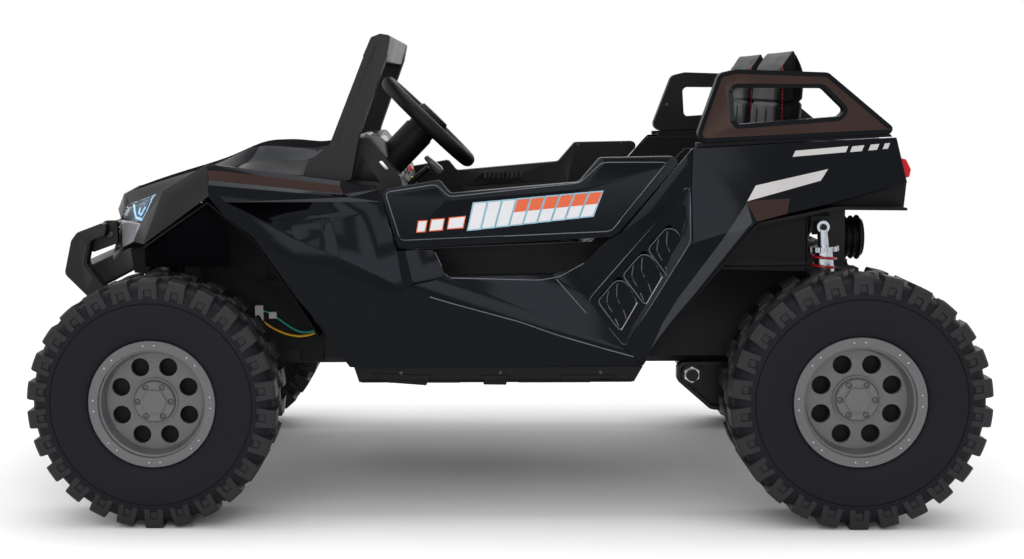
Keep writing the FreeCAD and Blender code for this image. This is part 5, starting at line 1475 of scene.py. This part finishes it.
@dataclass
class Pad:
    """One upholstered pad, blown up by cloth simulation and then creased.

    Attributes:
        name: name of the piece.
        node: the frame node that it stands for.
        side: one on the left, minus one on the right.
        creases: tests that give a crease's depth in millimetres at a point with its normal.
        form: takes a place in millimetres and gives the one that it moves to.
    """

    name: str
    node: str
    side: int
    creases: tuple
    form: Callable = None
    voxel_mm: float = 5.0
    pressure: float = 4.0
    stretch: float = 60.0
    bend: float = 12.0
    quality: int = 7
    last_frame: int = 20
    inset_mm: float = 2.5
    cap_mm: float = 5.0
    smoothing: int = 9
    fill: float = 0.8

    def build(self) -> Object:
        """Remesh, blow up, crease and finish the pad."""
        mesh = self.half()
        mesh = self.through(mesh, "REMESH", mode="VOXEL", voxel_size=self.voxel_mm * MM,
                            use_smooth_shade=True)
        self.shift(mesh, lambda place, normal: -self.inset_mm)
        if self.form:
            for vert in mesh.vertices:
                vert.co = self.form(vert.co / MM) * MM
        self.blow(mesh)
        mesh = self.through(mesh, "SMOOTH", factor=0.5, iterations=self.smoothing)
        mesh = self.through(mesh, "SUBSURF", levels=1, render_levels=1)
        self.shift(mesh, lambda place, normal: -max(crease(place, normal) for crease in self.creases))
        pad = fresh_object(self.name, mesh, LEATHERETTE, body_of_node(self.node), 180)
        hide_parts(self.node)
        LOG.info("%s blown up", self.name)
        return pad

    def half(self) -> Mesh:
        """Copy the node's solid on this side."""
        work = bmesh.new()
        work.from_mesh(frame["nodes"][self.node].data)
        bmesh.ops.remove_doubles(work, verts=work.verts, dist=LOOSE_MM * MM)
        away = [vert for vert in work.verts if vert.co.y * self.side < 0]
        bmesh.ops.delete(work, geom=away, context="VERTS")
        return to_mesh(work, self.name + "_start")

    @staticmethod
    def through(mesh: Mesh, kind: str, **settings) -> Mesh:
        """Pass a mesh through one modifier.

        Args:
            mesh: what goes in, which is dropped.
            kind: the modifier's type.
            settings: its attributes.

        Returns:
            What comes out.
        """
        holder = linked("holder", mesh)
        modifier = holder.modifiers.new("step", kind)
        for name, value in settings.items():
            setattr(modifier, name, value)
        result = evaluated_mesh(holder)
        bpy.data.meshes.remove(mesh)
        return result

    @staticmethod
    def shift(mesh: Mesh, amount: Callable) -> None:
        """Move every point along its normal.

        Args:
            mesh: the mesh.
            amount: takes the place in millimetres and the normal, and gives the move in millimetres.
        """
        moves = [vert.normal * amount(vert.co / MM, vert.normal) * MM for vert in mesh.vertices]
        for vert, move in zip(mesh.vertices, moves):
            vert.co += move
        mesh.update()

    def blow(self, mesh: Mesh) -> None:
        """Let cloth pressure crown the pad, no further than the cap."""
        scene = bpy.context.scene
        holder = linked("holder", mesh)
        cloth = holder.modifiers.new("cloth", "CLOTH")
        values = cloth.settings
        values.use_pressure = True
        values.uniform_pressure_force = self.pressure
        values.effector_weights.gravity = 0.0
        values.quality = self.quality
        values.tension_stiffness = values.compression_stiffness = self.stretch
        values.shear_stiffness = self.stretch / 2
        values.bending_stiffness = self.bend
        cloth.point_cache.frame_start = 1
        cloth.point_cache.frame_end = self.last_frame
        for number in range(1, self.last_frame + 1):
            scene.frame_set(number)
        blown = holder.evaluated_get(bpy.context.evaluated_depsgraph_get()).to_mesh()
        cap = self.cap_mm * MM
        places = [tuple(vert.co) for vert in blown.vertices]
        holder.modifiers.remove(cloth)
        for vert, place in zip(mesh.vertices, places):
            move = Vector(place) - vert.co
            vert.co += move * min(1.0, cap / max(move.length, 1e-9))
        mesh.update()
        bpy.data.objects.remove(holder)
        scene.frame_set(1)


def crease(distance: float, width_mm: float, depth_mm: float) -> float:
    """Depth of a soft groove at a distance from its line."""
    return depth_mm * math.exp(-(distance / width_mm) ** 2)


def eased(value: float, low: float, high: float) -> float:
    """Rise smoothly from nothing at one value to one at another."""
    share = max(0.0, min(1.0, (value - low) / (high - low)))
    return share * share * (3 - 2 * share)


@dataclass
class Seats:
    """Two cushions and two backs with their heads, creased and stitched in red.

    Attributes:
        channel_groove: width and depth of a groove, like the other four.
        seam_z_mm: start, end and step of the rays that find the stitches' places.
    """

    seat_y_mm: float = 161.0
    channel_mm: float = 48.0
    head_z_mm: float = 660.0
    neck_z_mm: tuple = (560, 610)
    solid_front_mm: float = -418.0
    head_front_mm: float = -434.0
    head_narrowing: float = 0.6
    dome_x_mm: float = -460.0
    dome_half_mm: float = 35.0
    dome_rise: float = 0.11
    dome_drop: float = 0.34
    cross_x_mm: tuple = (-215, -290)
    channel_groove: tuple = (5, 4)
    cross_groove: tuple = (4, 2.4)
    break_groove: tuple = (2.6, 4.5)
    seam_groove: tuple = (2.6, 1.4)
    lobe_groove: tuple = (3.6, 6)
    wave_mm: float = 1.8
    wave_length_mm: float = 56.0
    seam_x_mm: float = -461.5
    seam_z_mm: tuple = (606, 746, 5)
    lobe_x_mm: float = -482.0
    stitch_mm: float = 3.4
    stitch_step_mm: float = 5.6
    seam_width_mm: float = 3.0
    thread_mm: float = 0.75
    thread_rise: float = 0.35

    def build(self, pattern: Pattern) -> None:
        """Make all four pads and their stitches.

        Args:
            pattern: the trees.
        """
        for name, side in SIDES:
            Pad("seat_cushion_" + name, "seat_cushions", side,
                (self.cushion_channel, self.cushion_cross)).build()
            back = Pad("seat_back_" + name, "seat_backs", side,
                       (self.head_break, self.side_seam, self.lobe_break, self.back_channel),
                       self.head_form).build()
            self.stitches(pattern, back, name, side)

    def head_form(self, place: Vector) -> Vector:
        """Narrow the head from front to back and round its top into a dome."""
        share = eased(place.z, *self.neck_z_mm)
        narrowed = self.head_front_mm + (place.x - self.solid_front_mm) * self.head_narrowing
        x = place.x + share * (narrowed - place.x)
        lift = max(0.0, place.z - self.head_z_mm)
        bend = min(1.0, abs((x - self.dome_x_mm) / self.dome_half_mm)) ** 3
        z = place.z + lift * (self.dome_rise - self.dome_drop * bend)
        return Vector((x, place.y, z))

    def channels(self, place: Vector) -> float:
        """Depth of the two grooves on each side of a seat's middle."""
        return crease(abs(abs(place.y) - self.seat_y_mm) - self.channel_mm, *self.channel_groove)

    def cushion_channel(self, place: Vector, normal: Vector) -> float:
        """Two grooves along each cushion."""
        return eased(normal.z, 0.2, 0.7) * self.channels(place)

    def cushion_cross(self, place: Vector, normal: Vector) -> float:
        """Two grooves across each cushion."""
        deepest = max(crease(place.x - x, *self.cross_groove) for x in self.cross_x_mm)
        return eased(normal.z, 0.2, 0.7) * deepest

    def head_break(self, place: Vector, normal: Vector) -> float:
        """The gently wavy break between the back and its head."""
        wave = self.wave_mm * math.sin(2 * math.pi * place.x / self.wave_length_mm)
        return crease(place.z - self.head_z_mm - wave, *self.break_groove)

    def side_seam(self, place: Vector, normal: Vector) -> float:
        """The stitched seam up both sides and over the head."""
        share = (1 - eased(abs(normal.x), 0.6, 0.9)) * eased(place.z, 590, 610)
        return share * crease(place.x - self.seam_x_mm, *self.seam_groove)

    def lobe_break(self, place: Vector, normal: Vector) -> float:
        """The groove that parts the head's rear lobe."""
        share = (1 - eased(abs(normal.x), 0.75, 0.95)) * eased(place.z, 655, 675)
        return share * crease(place.x - self.lobe_x_mm, *self.lobe_groove)

    def back_channel(self, place: Vector, normal: Vector) -> float:
        """Two grooves down the front of each back."""
        share = eased(normal.x, 0.3, 0.7) * (1 - eased(place.z, 640, 655))
        return share * self.channels(place)

    def stitches(self, pattern: Pattern, back: Object, name: str, side: int) -> None:
        """Sew the red thread up both sides and over the head.

        Args:
            pattern: the trees.
            back: the finished pad.
            name: left or right.
            side: one on the left, minus one on the right.
        """
        ground = ray_ground(back.data)
        x = (self.seam_x_mm + self.seam_width_mm) * MM
        half = self.stitch_mm / 2
        r = self.thread_mm
        meshes = []
        for start_y, way in ((1000.0, -1), (0.0, 1)):
            points = []
            for z in range(*self.seam_z_mm):
                landed, normal, _, _ = ground.ray_cast(Vector((x, side * start_y * MM, z * MM)),
                                                       Vector((0, side * way, 0)))
                if landed is not None:
                    points.append((landed + normal * self.thread_mm * self.thread_rise * MM) / MM)
            line = [(-half, 0, -r * 0.5), (-half * 0.6, 0, 0), (half * 0.6, 0, 0), (half, 0, -r * 0.5)]
            dash = tube("dash", line, r, 6)
            meshes.append(pattern.run(pattern.path, "stitches", THREAD_RED, template=dash, points=points,
                                      Spacing=self.stitch_step_mm * MM))
        fresh_object("seat_stitches_" + name, joined("stitches", meshes), THREAD_RED,
                     body_of_node("seat_backs"), 60)


@dataclass
class RoadWheels:
    """Four wheels: lathe-turned tyre, shoulder lugs and middle blocks, painted wheel, rivets and bolts."""

    wheel_x_mm: float = 553.5
    wheel_y_mm: float = 395.0
    axle_z_mm: float = 200.0
    lug_count: int = 26
    rivet_pairs: int = 8
    rivet_spread: float = 5.4
    rivet_turn: float = 1.5
    rivet_circle_mm: float = 94.4
    rivet_face_mm: float = 65.6
    rivet_profile: tuple = ((0.01, -0.5), (0.01, 1.1), (0.9, 0.9), (1.6, 0.2), (1.7, -0.5))
    bolt_count: int = 6
    bolt_turn: float = 30.0
    bolt_circle_mm: float = 27.0
    bolt_face_mm: float = 40.6
    bolt_profile: tuple = ((0.01, -0.4), (0.01, 1.2), (1.7, 1.2), (1.9, 3.2), (3, 3), (3.7, 2.2), (3.8, -0.4))
    section: tuple = (
        (99.8, 50), (99.8, 61), (102.4, 62.4), (104, 66.2), (108, 69.2), (116, 71.6), (130, 73.6),
        (146, 74.5), (158, 74.7), (160.4, 74.5), (161, 73), (162, 73), (162.6, 74.4), (166.5, 74.2),
        (169.5, 73.2), (176, 71.2), (184, 68), (190, 62), (192.6, 54), (193, 46),
    )
    cavity: tuple = ((180, 44), (176, 56), (165, 65), (140, 66), (110, 56))
    back_plate: tuple = ((23.4, 10), (23.4, 13), (91.4, 15), (91.4, 12))
    lug_across: tuple = (-16.2, -14.8, -6.6, -5.2, 5.2, 6.6, 14.8, 16.2)
    lug_rise: tuple = ((168, 73.2), (169.6, 74.7), (183, 74.2), (184.6, 74), (196.6, 72.6), (199.8, 69.6))
    lug_root: float = 1.03
    lug_taper: float = 0.035
    lug_round_mm: float = 1.4
    lug_floor_mm: float = 184.0
    lug_inner_mm: float = 31.0
    hollow_mm: float = 2.6
    block_rings: tuple = ((186, 0), (197.6, 0.06), (199.8, 0.16))
    block_turn: tuple = (1, 0.25)
    block: tuple = ((-15, 3), (1, 2), (9, 12), (14, 26), (-2, 27), (-11, 15))

    def build(self, pattern: Pattern) -> None:
        """Make the four wheels.

        Args:
            pattern: the trees.
        """
        for end, way in (("front", 1), ("rear", -1)):
            for name, side in SIDES:
                place = Matrix.Translation((way * self.wheel_x_mm * MM, side * self.wheel_y_mm * MM,
                                            self.axle_z_mm * MM))
                if side < 0:
                    place = place @ mirrored_y()
                self.wheel(pattern, "%s_%s" % (end, name), place)

    def wheel(self, pattern: Pattern, name: str, place: Matrix) -> None:
        """Make one wheel.

        Args:
            pattern: the trees.
            name: end and side.
            place: matrix that takes a left wheel at the origin to its place.
        """
        body = body_of_node("tyre_" + name)
        tyre = fresh_object("tyre_%s_skin" % name, placed(self.carcass(), place), TYRE_EVA, body, 40)
        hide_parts("tyre_" + name)
        lugs = pattern.run(pattern.ring, "lugs", TREAD_EVA, template=self.tread_block(), Count=self.lug_count,
                           Phase=0.0)
        fresh_object("tyre_%s_lugs" % name, placed(lugs, place), TREAD_EVA, body, 24)
        dressed("wheel_" + name, WHEEL_PAINT, 0.7)
        plate = lathe("back_plate", self.back_plate, 72)
        fresh_object("wheel_%s_back_plate" % name, placed(plate, place), MATTE_PP_AND_PAINTED_SHADE, body, 40)
        rivets = []
        for turn in (self.rivet_turn - self.rivet_spread, self.rivet_turn + self.rivet_spread):
            rivets.append(pattern.run(pattern.ring, "rivets", RIVET_STEEL, template=self.rivet(),
                                      Count=self.rivet_pairs, Phase=math.radians(turn)))
        fresh_object("wheel_%s_rivets" % name, placed(joined("rivets", rivets), place), RIVET_STEEL, body, 50)
        bolts = pattern.run(pattern.ring, "bolts", WHEEL_PAINT, template=self.bolt(), Count=self.bolt_count,
                            Phase=math.radians(self.bolt_turn))
        fresh_object("wheel_%s_bolts" % name, placed(bolts, place), WHEEL_PAINT, body, 40)

    def carcass(self) -> Mesh:
        """Turn the tyre's smooth body, hollow round the wheel."""
        profile = list(self.section) + [(r, -y) for r, y in reversed(self.section)]
        profile += [(r, -y) for r, y in reversed(self.cavity)] + list(self.cavity)
        return lathe("carcass", profile, 104)

    def tread_block(self) -> Mesh:
        """Make one step of the tread: a lug on each shoulder and two middle blocks."""
        work = bmesh.new()
        for side in (1, -1):
            self.add_lug(work, side)
            self.add_block(work, side)
        return to_mesh(work, "tread_step", WELD_MM)

    def add_lug(self, work: BMesh, side: int) -> None:
        """Add a shoulder lug with a hollow between its two legs.

        Args:
            work: the working mesh.
            side: one for the outer shoulder, minus one for the inner.
        """
        rows = []
        last = len(self.lug_across) - 1
        for rise, (z, y) in enumerate(self.lug_rise):
            row = []
            for column, across in enumerate(self.lug_across):
                x = across * (self.lug_root - self.lug_taper * rise)
                depth = self.hollow_mm if column in (3, 4) and rise in (0, 1, 2) else 0.0
                depth += self.lug_round_mm if column in (0, last) else 0.0
                height = math.sqrt(z * z - x * x)
                row.append(work.verts.new((x * MM, side * (y - depth) * MM, height * MM)))
            rows.append(row)
        for low, high in zip(rows, rows[1:]):
            for corners in zip(low, low[1:], high[1:], high):
                work.faces.new(corners)
        rim = rows[0] + [row[-1] for row in rows[1:-1]] + list(reversed(rows[-1])) + [
            row[0] for row in reversed(rows[1:-1])]
        inner = []
        for vert in rim:
            height = max(vert.co.z, self.lug_floor_mm * MM)
            inner.append(work.verts.new((vert.co.x, side * self.lug_inner_mm * MM, height)))
        skin(work, (rim, inner))
        work.faces.new(inner)

    def add_block(self, work: BMesh, side: int) -> None:
        """Add a slanted middle block, half a step away from the lugs on one side.

        Args:
            work: the working mesh.
            side: one for the outer half, minus one for the inner.
        """
        turn = math.pi / self.lug_count * self.block_turn[0 if side > 0 else 1]
        middle = sum((Vector(corner) for corner in self.block), Vector((0, 0))) / len(self.block)
        rings = []
        for radius, shrink in self.block_rings:
            ring = []
            for corner in self.block:
                x, y = Vector(corner).lerp(middle, shrink)
                x, y = side * x, side * y
                height = math.sqrt(radius * radius - x * x)
                place = Vector((x * MM, y * MM, height * MM))
                ring.append(work.verts.new(Matrix.Rotation(turn, 3, "Y") @ place))
            rings.append(ring)
        skin(work, rings)
        work.faces.new(rings[0])
        work.faces.new(rings[-1])

    def rivet(self) -> Mesh:
        """Make a domed rivet at the top of the rim's face."""
        return turned("rivet", self.rivet_profile, 8, (0.0, self.rivet_face_mm, self.rivet_circle_mm))

    def bolt(self) -> Mesh:
        """Make a hub bolt with a hollow hexagon, in its pocket at the top of the hub."""
        return turned("bolt", self.bolt_profile, 12, (0.0, self.bolt_face_mm, self.bolt_circle_mm))


@dataclass
class Studio:
    """Pale floor, soft lamps and the camera at the photograph's place."""

    camera_at: tuple = (27.7048 * MM, 3099.5225 * MM, 696.8948 * MM)
    yaw: float = 0.0673
    pitch: float = 0.112
    roll: float = -0.0147
    lens_mm: float = 59.96
    picture_width: int = 1024
    principal_x: float = 368.3
    principal_y: float = 278.0
    picture_height: int = 559
    floor_radius: float = 14.0

    def build(self) -> None:
        """Set the stage, the light and the camera."""
        self.floor()
        self.world()
        self.lamps()
        self.camera()
        bpy.context.scene.view_settings.view_transform = "Standard"

    def floor(self) -> None:
        """Lay a pale floor that fades into the white background."""
        work = bmesh.new()
        bmesh.ops.create_circle(work, cap_ends=True, segments=96, radius=self.floor_radius)
        ground = linked("floor", to_mesh(work, "floor"))
        made = bpy.data.materials.new("floor_paper_matte")
        tree = bare_tree(made)
        place = add_node(tree, "ShaderNodeTexCoord").outputs["Object"]
        reach = add_node(tree, "ShaderNodeVectorMath", {0: place}, operation="LENGTH").outputs["Value"]
        away = add_node(tree, "ShaderNodeMapRange", {"Value": reach, "From Min": 1.0, "From Max": 2.6})
        path = add_node(tree, "ShaderNodeLightPath")
        share = add_node(tree, "ShaderNodeMath", {0: away,
                                                  1: path.outputs["Is Camera Ray"]}, operation="MULTIPLY")
        paper = add_node(tree, "ShaderNodeBsdfDiffuse", {"Color": srgb("#f6f6f6")})
        glow = add_node(tree, "ShaderNodeEmission", {"Color": (1, 1, 1, 1), "Strength": 1.0})
        mixed = add_node(tree, "ShaderNodeMixShader", {0: share, 1: paper, 2: glow})
        add_node(tree, "ShaderNodeOutputMaterial", {"Surface": mixed})
        ground.data.materials.append(made)

    def world(self) -> None:
        """White behind the object, also in glass and in what it mirrors, and a softer sky on matte faces."""
        made = bpy.data.worlds.new("studio")
        bpy.context.scene.world = made
        tree = bare_tree(made)
        way = add_node(tree, "ShaderNodeTexCoord").outputs["Generated"]
        height = add_node(tree, "ShaderNodeSeparateXYZ", {0: way}).outputs["Z"]
        ceiling = add_node(tree, "ShaderNodeMapRange", {"Value": height, "From Min": 0.0, "From Max": 0.8,
                                                        "To Min": 0.3, "To Max": 1.0}).outputs["Result"]
        path = add_node(tree, "ShaderNodeLightPath")
        seen = add_node(tree, "ShaderNodeMath", {0: path.outputs["Is Camera Ray"],
                                                 1: path.outputs["Is Transmission Ray"]}, operation="MAXIMUM")
        mirrored = add_node(tree, "ShaderNodeMath", {0: seen,
                                                     1: path.outputs["Is Glossy Ray"]}, operation="MAXIMUM")
        strength = add_node(tree, "ShaderNodeMix", {"Factor": mirrored, "A": ceiling,
                                                    "B": 1.0}, data_type="FLOAT")
        back = add_node(tree, "ShaderNodeBackground", {"Color": (1, 1, 1, 1), "Strength": strength})
        add_node(tree, "ShaderNodeOutputWorld", {"Surface": back})

    def lamps(self) -> None:
        """Large soft boxes overhead, along both sides and at both ends."""
        for name, place, aim, size, watts in (
            ("overhead_box", (0.0, 0.0, 2.9), (0.0, 0.0, 0.3), (3.2, 1.2), 36.0),
            ("left_box", (0.6, 3.2, 2.3), (0.0, 0.0, 0.35), (2.8, 0.9), 14.0),
            ("right_box", (-0.6, -3.2, 2.3), (0.0, 0.0, 0.35), (2.8, 0.9), 20.0),
            ("camera_box", (0.3, 5.6, 1.35), (0.0, 0.0, 0.5), (5.0, 1.5), 52.0),
            ("nose_box", (3.4, 0.4, 1.6), (0.2, 0.0, 0.4), (0.7, 1.2), 11.0),
            ("tail_box", (-3.4, -0.4, 1.6), (-0.2, 0.0, 0.4), (0.7, 1.2), 11.0),
        ):
            data = bpy.data.lights.new(name, "AREA")
            data.shape = "RECTANGLE"
            data.size, data.size_y = size
            data.energy = watts
            lamp = linked(name, data)
            lamp.location = place
            lamp.rotation_mode = "QUATERNION"
            lamp.rotation_quaternion = (Vector(aim) - Vector(place)).to_track_quat("-Z", "Y")

    def camera(self) -> None:
        """Stand the camera where the photograph was taken."""
        data = bpy.data.cameras.new("camera")
        data.sensor_width = 36.0
        data.lens = self.lens_mm
        data.shift_x = (self.picture_width / 2 - self.principal_x) / self.picture_width
        data.shift_y = (self.principal_y - self.picture_height / 2) / self.picture_width
        eye = linked("camera", data)
        ahead = Vector((math.sin(self.yaw) * math.cos(self.pitch), -math.cos(self.yaw) * math.cos(self.pitch),
                        -math.sin(self.pitch)))
        level_right = ahead.cross(Vector((0, 0, 1))).normalized()
        level_up = level_right.cross(ahead)
        right = level_right * math.cos(self.roll) + level_up * math.sin(self.roll)
        up = level_up * math.cos(self.roll) - level_right * math.sin(self.roll)
        turn = Matrix((right, up, -ahead)).transposed()
        eye.matrix_world = Matrix.Translation(Vector(self.camera_at)) @ turn.to_4x4()
        bpy.context.scene.camera = eye


def main() -> None:
    """Build every sub-assembly in order."""
    logging.basicConfig(level=logging.INFO, format="%(message)s")
    pattern = Pattern()
    for part in (Seats(), RoadWheels(), Chassis(), Controls(), Fasteners()):
        part.build(pattern)
        LOG.info("%s built", type(part).__name__)
    for part in (Bodywork(), Lamps(), Studio()):
        part.build()
        LOG.info("%s built", type(part).__name__)


if __name__ == "__main__":
    main()
